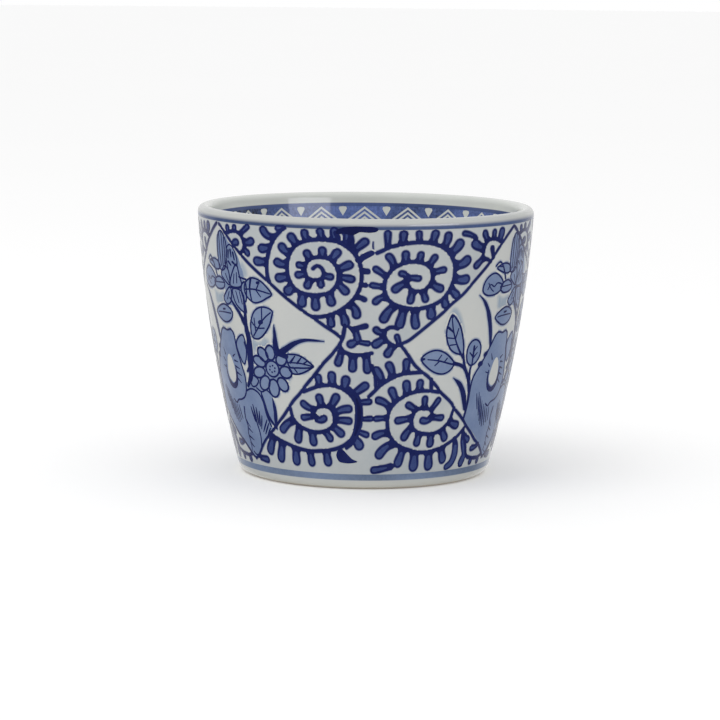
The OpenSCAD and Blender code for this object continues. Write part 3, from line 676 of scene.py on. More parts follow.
class CupSizes(bpy.types.PropertyGroup):
    height: length("Height", "Overall height", CAD_BOX[1].z)
    rim_radius: length("Rim radius", "Half the overall diameter, just under the lip", CAD_BOX[1].x)
    rim_lean: angle("Rim lean", "Lean of the wall from upright at the rim", 3.9)
    bow_radius: length("Bow radius", "Radius of the wall's bow, seen from the side", 0.32)
    wall: length("Wall", "Wall thickness at the lip", 0.003)
    wall_taper: number("Wall taper", "Extra wall per length of height, towards the base", 0.02)
    lip_height: length("Lip height", "Height of the rounded lip", 0.00156)
    floor_height: length("Floor height", "Height of the inside floor", 0.0072)
    floor_bend: length("Floor bend", "Radius between inside wall and floor", 0.009)
    foot_radius: length("Foot radius", "Outer radius of the resting ring", 0.0281)
    foot_width: length("Foot width", "Width of the resting ring", 0.0028)
    corner_height: length("Corner height", "Height of the rounded corner over the foot", 0.00266)
    recess_depth: length("Recess depth", "Depth of the recess inside the foot", 0.0026)
    bare_edge: length("Bare edge", "Height of the unglazed edge", 0.00055)
    glaze: length("Glaze", "Thickness of the glaze", 0.0003)


class PrintSizes(bpy.types.PropertyGroup):
    bleed: length("Bleed", "How far the blue spreads into the glaze", 0.00032)
    border_line: length("Border line", "Width of the lines round the lozenges", 0.00066)
    sink: length("Sink", "How far the print reaches into the glaze", 0.00005)
    dark_lift: length("Outline lift", "Height of the outlines' skin", 0.000042)
    mid_lift: length("Fill lift", "Height of the fill's skin", 0.000032)
    wash_lift: length("Wash lift", "Height of the wash's skin", 0.000024)
    bleed_lift: length("Bleed lift", "Height of the bleed's skin", 0.000018)
    haze_lift: length("Haze lift", "Height of the haze's skin", 0.000013)
    dense_lift: length("Dense lift", "Height of the overlapped print's skin", 0.000052)
    rim_run: length("Rim run", "Width of the rim line's soft upper edge", 0.0009)
    soft_edge: length("Soft edge", "Width of a painted line's soft edge", 0.00008)


class CupColours(bpy.types.PropertyGroup):
    glaze_light: colour("Glaze, light", "Glaze over the clay", (0.590, 0.600, 0.580))
    glaze_shade: colour("Glaze, shade", "Cooler patches of the glaze", (0.555, 0.575, 0.570))
    clay: colour("Bare clay", "Unglazed foot", (0.66, 0.64, 0.58))
    clay_stained: colour("Stained clay", "Contact edge of the foot", (0.42, 0.36, 0.29))
    outline: colour("Outline", "Dense printed outline", (0.003, 0.008, 0.085))
    outline_light: colour("Outline, thin", "Thinner places of the outline", (0.011, 0.020, 0.125))
    fill: colour("Fill", "Hatched fill of the buds", (0.027, 0.046, 0.175))
    fill_light: colour("Fill, thin", "Thinner places of the fill", (0.050, 0.080, 0.235))
    wash: colour("Wash", "Pale wash of flowers and rock", (0.155, 0.215, 0.370))
    wash_light: colour("Wash, thin", "Thinner places of the wash", (0.215, 0.280, 0.435))
    veil: colour("Veil", "Thin wash round the flowers", (0.300, 0.370, 0.455))
    veil_light: colour("Veil, thin", "Thinner places of the veil", (0.370, 0.430, 0.495))
    rim_line: colour("Rim line", "Painted line under the lip", (0.046, 0.078, 0.190))
    foot_line: colour("Foot line", "Painted line over the foot", (0.150, 0.205, 0.320))
    inner_print: colour("Inner print", "Zigzag band inside", (0.054, 0.090, 0.255))
    # Painted light: the inside has the same glaze as the outside, but its colour is set much lighter to paint
    # in the light that falls into the cup from above and bounces round inside.
    inner_glaze: colour("Inner glaze", "Glaze inside, set lighter as painted light", (0.76, 0.78, 0.75))
    haze: colour("Haze", "Blue veil between the scrolls", (0.455, 0.490, 0.510))
    haze_light: colour("Haze, thin", "Thinner places of the veil", (0.535, 0.555, 0.555))
    dense: colour("Dense blue", "Where the print overlaps and ran", (0.003, 0.006, 0.060))


class StageSizes(bpy.types.PropertyGroup):
    camera_distance: length("Camera distance", "From the middle of the cup", 0.71388)
    camera_rise: angle("Camera rise", "Height of the camera as an angle", 7.347)
    aim_height: length("Aim height", "Height that the camera is set against", 0.032)
    lens: number("Lens", "Focal length in millimetres", 148.8)
    turn: angle("Turn", "Small turn of the camera to the side", -0.0837)
    nod: angle("Nod", "Small nod of the camera", -0.4527)
    roll: angle("Roll", "Small roll of the camera", 0.5652)
    sky: number("Sky", "Strength of the light from above", 1.22)
    horizon: number("Horizon", "Strength of the light from the sides", 0.7)
    window: number("Window", "Power of the window that the inside mirrors, in watts", 0.8)
    glow: number("Floor glow", "Light of the floor's own", 0.13)
    softbox: number("Softbox", "Power of the softbox, in watts", 1.0)


# ---------------------------------------------------------------- surfaces of the cup

class CupShape:
    """The cup's surfaces in millimetres, from the sizes in the sidebar."""

    def __init__(self, sizes):
        for name in CupSizes.__annotations__:
            value = getattr(sizes, name)
            setattr(self, name, value if name in ("rim_lean", "wall_taper") else value / MM)
        self.widest = self.height - self.lip_height
        self.lip_half = self.wall / 2
        self.lip_radius = self.rim_radius - self.lip_half
        self.foot_inside = self.foot_radius - self.foot_width
        lean = math.atan(self.inner_r(self.floor_height + self.floor_bend)
                         - self.inner_r(self.floor_height + self.floor_bend - 1))
        self.bend_lean = lean
        self.bend_top = self.floor_height + self.floor_bend * (1 - math.sin(lean))
        self.bend_centre = self.inner_r(self.bend_top) - self.floor_bend * math.cos(lean)

    def wall_r(self, z):
        rise = self.widest - z + self.bow_radius * math.sin(self.rim_lean)
        return (self.rim_radius - self.bow_radius * math.cos(self.rim_lean)
                + math.sqrt(self.bow_radius ** 2 - rise ** 2))

    def outer_r(self, z):
        if z > self.widest:
            share = min(1, (z - self.widest) / self.lip_height)
            return self.lip_radius + self.lip_half * math.sqrt(1 - share ** 2)
        if z >= self.corner_height:
            return self.wall_r(z)
        fall = (1 - max(z, 0) / self.corner_height) ** (1 / 1.2)
        flare = self.wall_r(self.corner_height) - self.foot_radius
        return self.foot_radius + flare * (1 - fall ** 2) ** 0.6

    def inner_r(self, z):
        return self.wall_r(z) - self.wall - self.wall_taper * (self.widest - z)

    def climb(self, radius_at, z0, z1, outset, step):
        """Stops up a wall, about every step millimetres."""
        count = max(1, math.ceil((z1 - z0) / step))
        heights = [z0 + (z1 - z0) * i / count for i in range(count + 1)]
        return [(radius_at(z) + outset, z) for z in heights]

    def up_outside(self, z0, z1, inset, step=1.6):
        return self.climb(self.outer_r, z0, z1, -inset, step)

    def up_inside(self, z0, z1, inset, step=1.6):
        return self.climb(self.inner_r, z0, z1, inset, step)

    def lip(self, inset, angles):
        """Round the top of the wall; angles are in degrees, from 0 outside to 180 inside."""
        return [(self.lip_radius + (self.lip_half - inset) * math.cos(math.radians(a)),
                 self.widest + (self.lip_height - inset) * math.sin(math.radians(a))) for a in angles]

    def bend(self, inset, facets=14):
        """From the inside wall round into the floor."""
        reach = self.floor_bend + inset
        turn = math.pi / 2 - self.bend_lean
        angles = [self.bend_lean + turn * i / facets for i in range(facets + 1)]
        level = self.floor_height + self.floor_bend
        return [(self.bend_centre + reach * math.cos(a), level - reach * math.sin(a)) for a in angles]

    def recess(self, inset):
        """From the middle of the underside out and down to the resting ring."""
        edge = self.foot_inside - 0.3
        points = [(0, self.recess_depth + inset), (edge - 1.6 - inset, self.recess_depth + inset)]
        for turn in (0, 22, 45, 68, 90):
            a = math.radians(turn)
            points.append((edge - 1.2 - inset + (0.8 + inset / 2) * math.sin(a),
                           self.recess_depth - 0.8 + inset + 0.8 * math.cos(a)))
        points.append((edge - 0.15 + inset / 2, self.bare_edge + 0.3))
        return points

    def outside(self, degrees, z, lift):
        """A place on the outside, and the way out from it."""
        return self.place(degrees, z, self.outer_r, lift, 1)

    def inside(self, degrees, z, lift):
        return self.place(degrees, z, self.inner_r, lift, -1)

    def place(self, degrees, z, radius_at, lift, side):
        radius = radius_at(z)
        slope = radius_at(z + 0.02) - radius_at(z - 0.02)
        a = math.radians(degrees)
        out = Vector((math.sin(a), -math.cos(a), 0))
        normal = (out - Vector((0, 0, slope / 0.04))).normalized() * side
        return (out * radius + Vector((0, 0, z)) + normal * lift) * MM, normal


# ---------------------------------------------------------------- making pieces

def finished(bm, name, nodes, material, sharp=40):
    """Turns a bmesh into a named piece that rides on the cup and stands for its CAD nodes."""
    mesh = bpy.data.meshes.new(name)
    bm.to_mesh(mesh)
    bm.free()
    mesh.materials.append(material)
    mesh.shade_smooth()
    mesh.set_sharp_from_angle(angle=math.radians(sharp))
    piece = bpy.data.objects.new(name, mesh)
    bpy.context.scene.collection.objects.link(piece)
    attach(piece, "root")
    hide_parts(*nodes)
    return piece


TURN_STEPS = 240
TOUCH = 1e-7


def turned(outline):
    """A solid turned round the cup's axis from a closed outline of (radius, height) in millimetres."""
    bm = bmesh.new()
    corners = [bm.verts.new((r * MM, 0, z * MM)) for r, z in outline]
    sides = [bm.edges.new(pair) for pair in zip(corners, corners[1:] + corners[:1])
             if pair[0].co.x > TOUCH or pair[1].co.x > TOUCH]
    bmesh.ops.spin(bm, geom=corners + sides, cent=(0, 0, 0), axis=(0, 0, 1), angle=math.tau, steps=TURN_STEPS,
                   use_merge=True)
    bmesh.ops.remove_doubles(bm, verts=bm.verts[:], dist=TOUCH)
    bmesh.ops.recalc_face_normals(bm, faces=bm.faces[:])
    return bm


# The print is cut along a grid, so that its flat triangles follow the round wall.
GRID_DEGREES = 2
GRID_HEIGHT = 3


def regions(sheet, left, right, low, high):
    """Cuts the overlapping outlines of a sheet into one flat map: its points, and its triangles by tone."""
    points, edges, loops = [], [], []
    shapes = sheet.shapes
    for _, _, outline in shapes:
        area = sum(a[0] * b[1] - b[0] * a[1] for a, b in zip(outline, outline[1:] + outline[:1]))
        ring = outline if area > 0 else outline[::-1]
        loops.append(list(range(len(points), len(points) + len(ring))))
        points += [Vector(p) for p in ring]
    for degrees in range(left, right + 1, GRID_DEGREES):
        edges.append((len(points), len(points) + 1))
        points += [Vector((degrees * ARC, low)), Vector((degrees * ARC, high))]
    for height in range(math.ceil(low) + 1, math.floor(high), GRID_HEIGHT):
        edges.append((len(points), len(points) + 1))
        points += [Vector((left * ARC, height)), Vector((right * ARC, height))]
    spots, _, triangles, _, _, owners = delaunay_2d_cdt(points, edges, loops, 0, 1e-4, True)
    tones = {}
    for triangle, covering in zip(triangles, owners):
        if covering:
            tone = shapes[max(covering, key=lambda k: (shapes[k][0], k))][1]
            tones.setdefault(tone, []).append(triangle)
    return spots, tones


LAYER = 10


def printed(spots, triangles, surface, lift, sink, turns, flip=False, ink=None):
    """Wraps flat triangles round the cup, once for each turn, as a thin closed skin; also gives its normals.

    The copies are stacked LAYER apart while they are flat, which tells them and their two sides apart."""
    bm = bmesh.new()
    for k in range(len(turns)):
        made = {}
        for triangle in triangles:
            for i in triangle:
                if i not in made:
                    made[i] = bm.verts.new((spots[i].x, spots[i].y, k * LAYER))
            bm.faces.new([made[i] for i in triangle])
    bm.normal_update()
    bmesh.ops.solidify(bm, geom=bm.faces[:], thickness=1)
    inks = {(round(spots[i].x, 4), round(spots[i].y, 4)): depth for i, depth in (ink or {}).items()}
    layer = bm.verts.layers.float.new("ink")
    ways = []
    for v in bm.verts:
        v[layer] = inks.get((round(v.co.x, 4), round(v.co.y, 4)), 0.0)
        k = math.floor(v.co.z / LAYER + 0.5)
        over = v.co.z - k * LAYER > -0.5
        v.co, way = surface(v.co.x / ARC + turns[k], v.co.y, lift if over else -sink)
        ways.append(way)
    if flip:
        bmesh.ops.reverse_faces(bm, faces=bm.faces[:])
    return bm, ways


def printed_piece(name, made, nodes, material):
    bm, ways = made
    piece = finished(bm, name, nodes, material, 180)
    piece.data.normals_split_custom_set_from_vertices(ways)


# ---------------------------------------------------------------- materials

def group(name, inputs, outputs):
    """A shader node group with its sockets and end nodes."""
    tree = bpy.data.node_groups.new(name, "ShaderNodeTree")
    for label, kind, default in inputs:
        socket = tree.interface.new_socket(name=label, in_out="INPUT", socket_type=kind)
        if default is not None:
            socket.default_value = default
    for label, kind in outputs:
        tree.interface.new_socket(name=label, in_out="OUTPUT", socket_type=kind)
    return tree, tree.nodes.new("NodeGroupInput"), tree.nodes.new("NodeGroupOutput")


def fill_in(tree, node, inputs):
    """Gives a node's inputs their links or plain values. Three numbers are a colour."""
    for label, source in inputs.items():
        if isinstance(source, bpy.types.NodeSocket):
            tree.links.new(source, node.inputs[label])
        elif isinstance(source, (int, float)):
            node.inputs[label].default_value = source
        else:
            node.inputs[label].default_value = (*source, 1)
    return node


def added(tree, kind, inputs):
    return fill_in(tree, tree.nodes.new("ShaderNode" + kind), inputs)


def coordinate(tree, space, axis):
    """One axis of a texture coordinate."""
    place = tree.nodes.new("ShaderNodeTexCoord")
    return added(tree, "SeparateXYZ", {"Vector": place.outputs[space]}).outputs[axis]


def noise(tree, scale, detail):
    """A noise in Object coordinates; scale is in repeats a metre."""
    place = tree.nodes.new("ShaderNodeTexCoord")
    values = {"Vector": place.outputs["Object"], "Scale": scale, "Detail": detail, "Roughness": 0.5}
    return added(tree, "TexNoise", values).outputs["Fac"]


def stretch(tree, value, low, high, to_low=0.0, to_high=1.0):
    """Map Range from low..high to to_low..to_high, clamped."""
    values = {"Value": value, "From Min": low, "From Max": high, "To Min": to_low, "To Max": to_high}
    return added(tree, "MapRange", values).outputs["Result"]


def blend_colours(tree, share, first, second):
    """A mix of two colours; each argument is a socket or a plain value."""
    made = tree.nodes.new("ShaderNodeMix")
    made.data_type = "RGBA"
    return fill_in(tree, made, {0: share, 6: first, 7: second}).outputs[2]


def make_ripple():
    """The slow waviness and faint pinholes of a dipped glaze, as a normal."""
    tree, ins, outs = group(
        "Glaze ripple", [("Wave", "NodeSocketFloat", 0.3), ("Pits", "NodeSocketFloat", 0.1)],
        [("Normal", "NodeSocketVector")])
    wave = added(tree, "Bump", {
        "Distance": 0.00012, "Strength": ins.outputs["Wave"], "Height": noise(tree, 95, 1.5)})
    pits = added(tree, "Bump", {
        "Distance": 0.00001, "Strength": ins.outputs["Pits"], "Height": noise(tree, 2200, 1),
        "Normal": wave.outputs["Normal"]})
    fill_in(tree, outs, {"Normal": pits.outputs["Normal"]})
    return tree


def make_mottle():
    """Uneven density of a colour: broad clouds with a fine grain over them."""
    tree, ins, outs = group(
        "Uneven colour",
        [("Thin", "NodeSocketColor", None), ("Dense", "NodeSocketColor", None),
         ("Cloud scale", "NodeSocketFloat", 160.0), ("Grain scale", "NodeSocketFloat", 1800.0),
         ("Grain", "NodeSocketFloat", 0.3)],
        [("Color", "NodeSocketColor"), ("Density", "NodeSocketFloat")])
    clouds = stretch(tree, noise(tree, ins.outputs["Cloud scale"], 3), 0.35, 0.65)
    grains = stretch(tree, noise(tree, ins.outputs["Grain scale"], 2), 0.3, 0.7)
    density = added(tree, "Mix", {0: ins.outputs["Grain"], 2: clouds, 3: grains}).outputs[0]
    tint = blend_colours(tree, density, ins.outputs["Thin"], ins.outputs["Dense"])
    fill_in(tree, outs, {"Density": density, "Color": tint})
    return tree


def make_specks():
    """Rare small iron specks, as a mask."""
    tree, ins, outs = group(
        "Iron specks", [("Rarity", "NodeSocketFloat", 0.5)], [("Mask", "NodeSocketFloat")])
    place = tree.nodes.new("ShaderNodeTexCoord")
    cells = added(tree, "TexVoronoi", {"Vector": place.outputs["Object"], "Scale": 120})
    near = stretch(tree, cells.outputs["Distance"], 0.02, 0.045, 1, 0)
    split = added(tree, "SeparateColor", {"Color": cells.outputs["Color"]})
    chosen = stretch(tree, split.outputs["Red"], ins.outputs["Rarity"], 1.0)
    both = added(tree, "Math", {0: near, 1: chosen})
    both.operation = "MULTIPLY"
    fill_in(tree, outs, {"Mask": both.outputs["Value"]})
    return tree


def shared(name, make):
    return bpy.data.node_groups.get(name) or make()


def placed(tree, node_group, values):
    """A node group in a material, with its own values."""
    node = tree.nodes.new("ShaderNodeGroup")
    node.node_tree = node_group
    return fill_in(tree, node, values)


def ceramic(name, roughness, coat, wave):
    """A ceramic material with its surface set and its colour still to come."""
    material = bpy.data.materials.new(name)
    material.use_nodes = True
    tree = material.node_tree
    ripple = placed(tree, shared("Glaze ripple", make_ripple), {"Wave": wave, "Pits": 0.12})
    shader = fill_in(tree, tree.nodes["Principled BSDF"], {
        "Roughness": roughness, "Coat Weight": coat, "Coat Roughness": 0.03, "Specular IOR Level": 0.3,
        "Normal": ripple.outputs["Normal"]})
    return material, tree, shader


def tinted(tone, share, white=0.0):
    """A colour made denser or thinner by a share, with some white in it."""
    return [c * share + white for c in tone]


def mottled(tree, thin, dense, clouds, grains, grain):
    values = {"Thin": thin, "Dense": dense, "Cloud scale": clouds, "Grain scale": grains, "Grain": grain}
    return placed(tree, shared("Uneven colour", make_mottle), values)


def glazed_white(name, light, shade):
    """Clear glaze over white clay: cool cloudy white, rare iron specks, warm where it thins at the foot."""
    material, tree, shader = ceramic(name, 0.22, 0.5, 0.25)
    cloudy = mottled(tree, shade, light, 60.0, 900.0, 0.15)
    thin = stretch(tree, coordinate(tree, "Object", "Z"), 0.0004, 0.0026, 0.8, 0)
    warm = blend_colours(tree, thin, cloudy.outputs["Color"], (0.64, 0.635, 0.58))
    specks = placed(tree, shared("Iron specks", make_specks), {"Rarity": 0.9})
    coloured = blend_colours(tree, specks.outputs["Mask"], warm, (0.20, 0.14, 0.09))
    fill_in(tree, shader, {"Base Color": coloured})
    return material


def bare_clay(colours):
    """Unglazed clay: matt and grainy, stained where it has stood and been handled."""
    if "Bare porcelain" in bpy.data.materials:
        return bpy.data.materials["Bare porcelain"]
    material, tree, shader = ceramic("Bare porcelain", 0.75, 0.0, 0.6)
    grainy = mottled(tree, colours.clay, tinted(colours.clay, 0.9), 300.0, 4000.0, 0.5)
    worn = stretch(tree, coordinate(tree, "Object", "Z"), 0.0001, 0.0009, 0.75, 0)
    coloured = blend_colours(tree, worn, grainy.outputs["Color"], colours.clay_stained)
    rough = stretch(tree, grainy.outputs["Density"], 0, 1, 0.65, 0.85)
    fill_in(tree, shader, {"Base Color": coloured, "Roughness": rough})
    return material


def cobalt(name, thin, dense, grain=0.3, clouds=160.0, ground=None):
    """Blue under the glaze. With a ground colour, it fades into it where its ink runs out."""
    if name in bpy.data.materials:
        return bpy.data.materials[name]
    material, tree, shader = ceramic(name, 0.22, 0.5, 0.25)
    colour_out = mottled(tree, thin, dense, clouds, 1600.0, grain).outputs["Color"]
    if ground is not None:
        ink = tree.nodes.new("ShaderNodeAttribute")
        ink.attribute_name = "ink"
        colour_out = blend_colours(tree, ink.outputs["Fac"], ground, colour_out)
    fill_in(tree, shader, {"Base Color": colour_out})
    return material


# ---------------------------------------------------------------- operators

class CUP_OT_clay(bpy.types.Operator):
    """Make the bare foot ring, and finish the clay under the glaze"""
    bl_idname = "cup.clay"
    bl_label = "Clay and bare foot"

    def execute(self, context):
        shape = CupShape(context.scene.cup_sizes)
        clay = bare_clay(context.scene.cup_colours)
        edge = shape.foot_inside
        top = shape.up_outside(shape.bare_edge, 2.3, shape.glaze, 0.4)
        outline = ([(edge + 0.12, 0), (shape.foot_radius - 0.1, 0)]
                   + shape.up_outside(0.04, shape.bare_edge, 0, 0.17) + top
                   + [(edge - 1.0, 2.2), (edge - 0.5, shape.bare_edge + 0.3),
                      (edge - 0.2, shape.bare_edge + 0.3), (edge - 0.04, 0.12)])
        finished(turned(outline), "bare_foot", ["foot_ring"], clay)
        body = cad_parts["porcelain_body"]
        body.data.materials.clear()
        body.data.materials.append(clay)
        return {"FINISHED"}


class CUP_OT_glaze(bpy.types.Operator):
    """Make the glaze outside, inside and in the recess of the foot"""
    bl_idname = "cup.glaze"
    bl_label = "Glaze"

    def execute(self, context):
        shape = CupShape(context.scene.cup_sizes)
        colours = context.scene.cup_colours
        white = glazed_white("Glazed porcelain", colours.glaze_light, colours.glaze_shade)
        # Painted light: the inside glaze takes the lighter inner colour, which paints in the light that falls
        # into the cup and bounces round inside.
        inside = glazed_white("Glazed inside", colours.inner_glaze, tinted(colours.inner_glaze, 0.95))
        skin = shape.glaze
        lip = list(range(0, 81, 8)) + [85, 88, 89.5, 90]
        lip_in = [180 - a for a in lip]

        def out_and_up(inset, corner_step, step, angles):
            """From the bare edge up the outside to the top of the lip."""
            return (shape.up_outside(shape.bare_edge, shape.corner_height, inset, corner_step)[:-1]
                    + shape.up_outside(shape.corner_height, shape.widest, inset, step)[:-1]
                    + shape.lip(inset, angles))

        def in_and_up(inset, step, angles):
            """From the middle of the floor up the inside to the top of the lip."""
            return ([(0, shape.floor_height - inset)] + shape.bend(inset)[::-1]
                    + shape.up_inside(shape.bend_top, shape.widest, inset, step)[1:-1]
                    + shape.lip(inset, angles))

        for name, node, face, back, material in (
                ("glaze_outside", "outer_glaze", out_and_up(0, 0.3, 1.6, lip),
                 out_and_up(skin, 0.6, 6, lip[::2] + [90]), white),
                ("glaze_inside", "inner_glaze", in_and_up(0, 1.6, lip_in),
                 in_and_up(skin, 6, lip_in[::2] + [90]), inside),
                ("glaze_under_foot", "recess_glaze", shape.recess(0), shape.recess(skin), white)):
            finished(turned(face + back[::-1]), name, [node], material)
        return {"FINISHED"}


def ink_at(stops, z):
    """Ink at a height, from (height, ink) stops."""
    for (z0, ink0), (z1, ink1) in zip(stops, stops[1:]):
        if z <= z1:
            return ink0 + (ink1 - ink0) * max(0, (z - z0) / (z1 - z0))
    return stops[-1][1]


def painted_line(name, surface, stops, lift, sink, node, material):
    """A brushed line round the cup: a thin skin whose ink follows the stops."""
    face = [surface(90, z, lift)[0] for z, _ in stops]
    back = [surface(90, z, -sink)[0] for z, _ in stops]
    bm = turned([(spot.x / MM, spot.z / MM) for spot in face + back[::-1]])
    depth = bm.verts.layers.float.new("ink")
    for v in bm.verts:
        v[depth] = ink_at(stops, v.co.z / MM)
    piece = finished(bm, name, [node], material, 180)
    ways = [surface(math.degrees(math.atan2(v.co.x, -v.co.y)), v.co.z / MM, 0)[1]
            for v in piece.data.vertices]
    piece.data.normals_split_custom_set_from_vertices(ways)


class CUP_OT_lines(bpy.types.Operator):
    """Paint the lines over the foot, under the lip and inside the lip"""
    bl_idname = "cup.lines"
    bl_label = "Painted lines"

    def execute(self, context):
        shape = CupShape(context.scene.cup_sizes)
        colours, sizes = context.scene.cup_colours, context.scene.print_sizes
        lift, sink, edge = sizes.wash_lift / MM, sizes.sink / MM, sizes.soft_edge / MM
        run = sizes.rim_run / MM
        rows = (
            ("foot_line", shape.outside, FOOT_LINE_BOX, 0.0, edge, colours.foot_line, 0.30),
            ("rim_line", shape.outside, RIM_LINE_BOX, 0.0, run, colours.rim_line, 0.25),
            ("inner_line", shape.inside, INNER_LINE_BOX, 1.0, edge, colours.inner_print, 0.25),
        )
        for node, surface, box, start, above, tone, grain in rows:
            name = node + "_paint"
            paint = cobalt(name.replace("_", " "), tinted(tone, 1.25, 0.015), tinted(tone, 0.8), grain, 60.0,
                           colours.glaze_light)
            low, high = box[0].z / MM, box[1].z / MM
            stops = [(low - edge, start), (low + edge, 1.0), (high - above / 4, 1.0)]
            stops += [(high - above / 4 + above * share, (1 - share) ** 1.3)
                      for share in (0.25, 0.5, 0.75, 1.0)]
            painted_line(name, surface, stops, lift, sink, node, paint)
        return {"FINISHED"}


# The zigzag band, in millimetres down from its top; each chevron has a top and a bottom.
BAND_REPEATS = 21
BAND_START = -8.1
BAND_PEAK = 0.1
BAND_RISE = 4.1
CHEVRONS = ((0.72, 1.3), (1.9, 2.5), (3.1, 3.7))
LAST_CHEVRON = 4.3
# Half a white tooth: degrees back from the edge of the repeat, millimetres down.
TOOTH = ((0, 0.05), (1.4, 0.2), (1.6, 0.7), (1.0, 1.4), (0.4, 2.0), (0, 2.4))


def band_cell(sheet, high, low, half):
    """One repeat of the zigzag: nested chevrons peaking in the middle, half a white tooth at each side."""
    edge = half * ARC
    foot = high - BAND_PEAK - BAND_RISE
    sheet.add(WASH, "band", [(-edge, high), (-edge, foot), (0, high - BAND_PEAK), (edge, foot), (edge, high)])
    for side in (-1, 1):
        sheet.add(GAP, None, [(side * (half - back) * ARC, high - down) for back, down in TOOTH])
    for top, bottom in (*CHEVRONS, (LAST_CHEVRON, high - low - BAND_RISE)):
        upper = [(-edge, high - top - BAND_RISE), (0, high - top), (edge, high - top - BAND_RISE)]
        sheet.add(WASH, "band", upper + [(x, y + top - bottom) for x, y in upper[::-1]])


class CUP_OT_band(bpy.types.Operator):
    """Print the zigzag band inside the lip"""
    bl_idname = "cup.band"
    bl_label = "Inside band"

    def execute(self, context):
        shape = CupShape(context.scene.cup_sizes)
        colours, sizes = context.scene.cup_colours, context.scene.print_sizes
        low, high = BAND_BOX[0].z / MM, BAND_BOX[1].z / MM
        repeat = 360 / BAND_REPEATS
        sheet = Sheet(sizes.bleed / MM)
        band_cell(sheet, high, low, repeat / 2)
        spots, tones = regions(sheet, -8, 8, low, high)
        turns = [k * repeat + BAND_START for k in range(BAND_REPEATS)]
        made = printed(spots, tones["band"], shape.inside, sizes.wash_lift / MM, sizes.sink / MM, turns, True)
        thin, dense = tinted(colours.inner_print, 2.1, 0.04), tinted(colours.inner_print, 0.12)
        paint = cobalt("Inner print", thin, dense, 0.4, 70.0)
        printed_piece("inside_band_print", made, ["inner_band"], paint)
        return {"FINISHED"}


def blues(colours, ground, halo):
    """The print's blues by tone, each with its skin's height and name. The bleed fades into the ground."""
    spread = cobalt("Blue bleed over " + ground, getattr(colours, halo + "_light"), getattr(colours, halo),
                    0.3, 160.0, getattr(colours, ground))
    return {
        "haze": ("haze_lift", "haze", cobalt("Blue haze", colours.haze_light, colours.haze, 0.2, 90.0)),
        "bleed": ("bleed_lift", "bleed", spread),
        "veil": ("bleed_lift", "veil", cobalt("Blue veil", colours.veil_light, colours.veil, 0.3, 120.0,
                                              colours.glaze_light)),
        "wash": ("wash_lift", "wash", cobalt("Cobalt wash", colours.wash_light, colours.wash, 0.35)),
        "mid": ("mid_lift", "fill", cobalt("Cobalt fill", colours.fill_light, colours.fill, 0.5)),
        "dark": ("dark_lift", "outline",
                 cobalt("Cobalt outline", colours.outline_light, colours.outline, 0.4)),
        "dense": ("dense_lift", "overlap", cobalt("Cobalt dense", colours.outline, colours.dense, 0.4)),
    }


PRINT_LOW, PRINT_HIGH = 2.0, 62.6
SCROLL_SPAN, FLOWER_SPAN = 66, 46


def print_panel(context, sheet, prefix, node, span, turn, ground, halo):
    """Makes one panel's pieces, a skin for each tone. The panel reaches span degrees to each side."""
    shape = CupShape(context.scene.cup_sizes)
    sizes = context.scene.print_sizes
    spots, tones = regions(sheet, -span, span, PRINT_LOW, PRINT_HIGH)
    ink = {i: 1.0 for tone in ("wash", "mid", "dark", "dense") for t in tones.get(tone, ()) for i in t}
    for i in {i for t in tones.get("veil", ()) for i in t}:
        inside = min(math.dist(spots[i], p) for veil in sheet.veils for p in veil)
        ink[i] = max(ink.get(i, 0), min(1, inside / VEIL_FADE))
    for tone, (lift, label, material) in blues(context.scene.cup_colours, ground, halo).items():
        if tone in tones:
            made = printed(spots, tones[tone], shape.outside, getattr(sizes, lift) / MM, sizes.sink / MM,
                           [turn], ink=ink)
            printed_piece(f"{prefix}_{label}", made, [node], material)


def draw_scroll(sheet, border):
    """The hourglass of scroll with the lines that border it."""
    sheet.add(HAZE, "haze", [sheet.spot(p) for p in HOURGLASS])
    stems = []
    for width, points in SCROLL_STEMS.values():
        sheet.line(points, width * 0.9, width, width * 0.95)
        stems.append(sheet.curve(points))
    for bud in BUDS:
        sheet.lobe(*bud, stems=stems)
    sheet.patch(WEDGE, "dark", BODY)
    for widths, points in ARMS:
        sheet.line(points, *widths, level=BODY)
        sheet.line(points[1:], *[w - ARM_RIM for w in widths[1:]], tone="mid", level=FILL, halo=False)
    for points in BORDERS.values():
        sheet.line(points, border)


def draw_smear(sheet):
    """The overlap of the print's ends, with the dark blot where its colour ran."""
    sheet.patch(SMEAR, "dense", DENSE)
    for widths, points, tone in SMEAR_STROKES:
        sheet.line(points, *widths, tone=tone, level=DENSE if tone == "dense" else LINE)


class CUP_OT_scroll(bpy.types.Operator):
    """Print the three hourglass panels of octopus scroll"""
    bl_idname = "cup.scroll"
    bl_label = "Scroll panels"

    def execute(self, context):
        sizes = context.scene.print_sizes
        for side, turn in (("front", 0), ("right", 120), ("left", -120)):
            fit = (1.017, -0.5) if turn else ()
            sheet = Sheet(sizes.bleed / MM, *fit)
            draw_scroll(sheet, sizes.border_line / MM)
            if not turn:
                draw_smear(sheet)
            print_panel(context, sheet, f"scroll_{side}", f"scroll_panel_{side}",
                        SCROLL_SPAN, turn, "haze_light", "fill")
        return {"FINISHED"}


class CUP_OT_flowers(bpy.types.Operator):
    """Print the three lozenges of flowers and rock"""
    bl_idname = "cup.flowers"
    bl_label = "Flower panels"

    def execute(self, context):
        sizes = context.scene.print_sizes
        for side, turn in (("right", 60), ("left", -60), ("back", 180)):
            sheet = Sheet(sizes.bleed / MM * 1.5)
            draw_flowers(sheet)
            print_panel(context, sheet, f"flower_{side}", f"flower_panel_{side}",
                        FLOWER_SPAN, turn, "glaze_light", "wash")
        return {"FINISHED"}


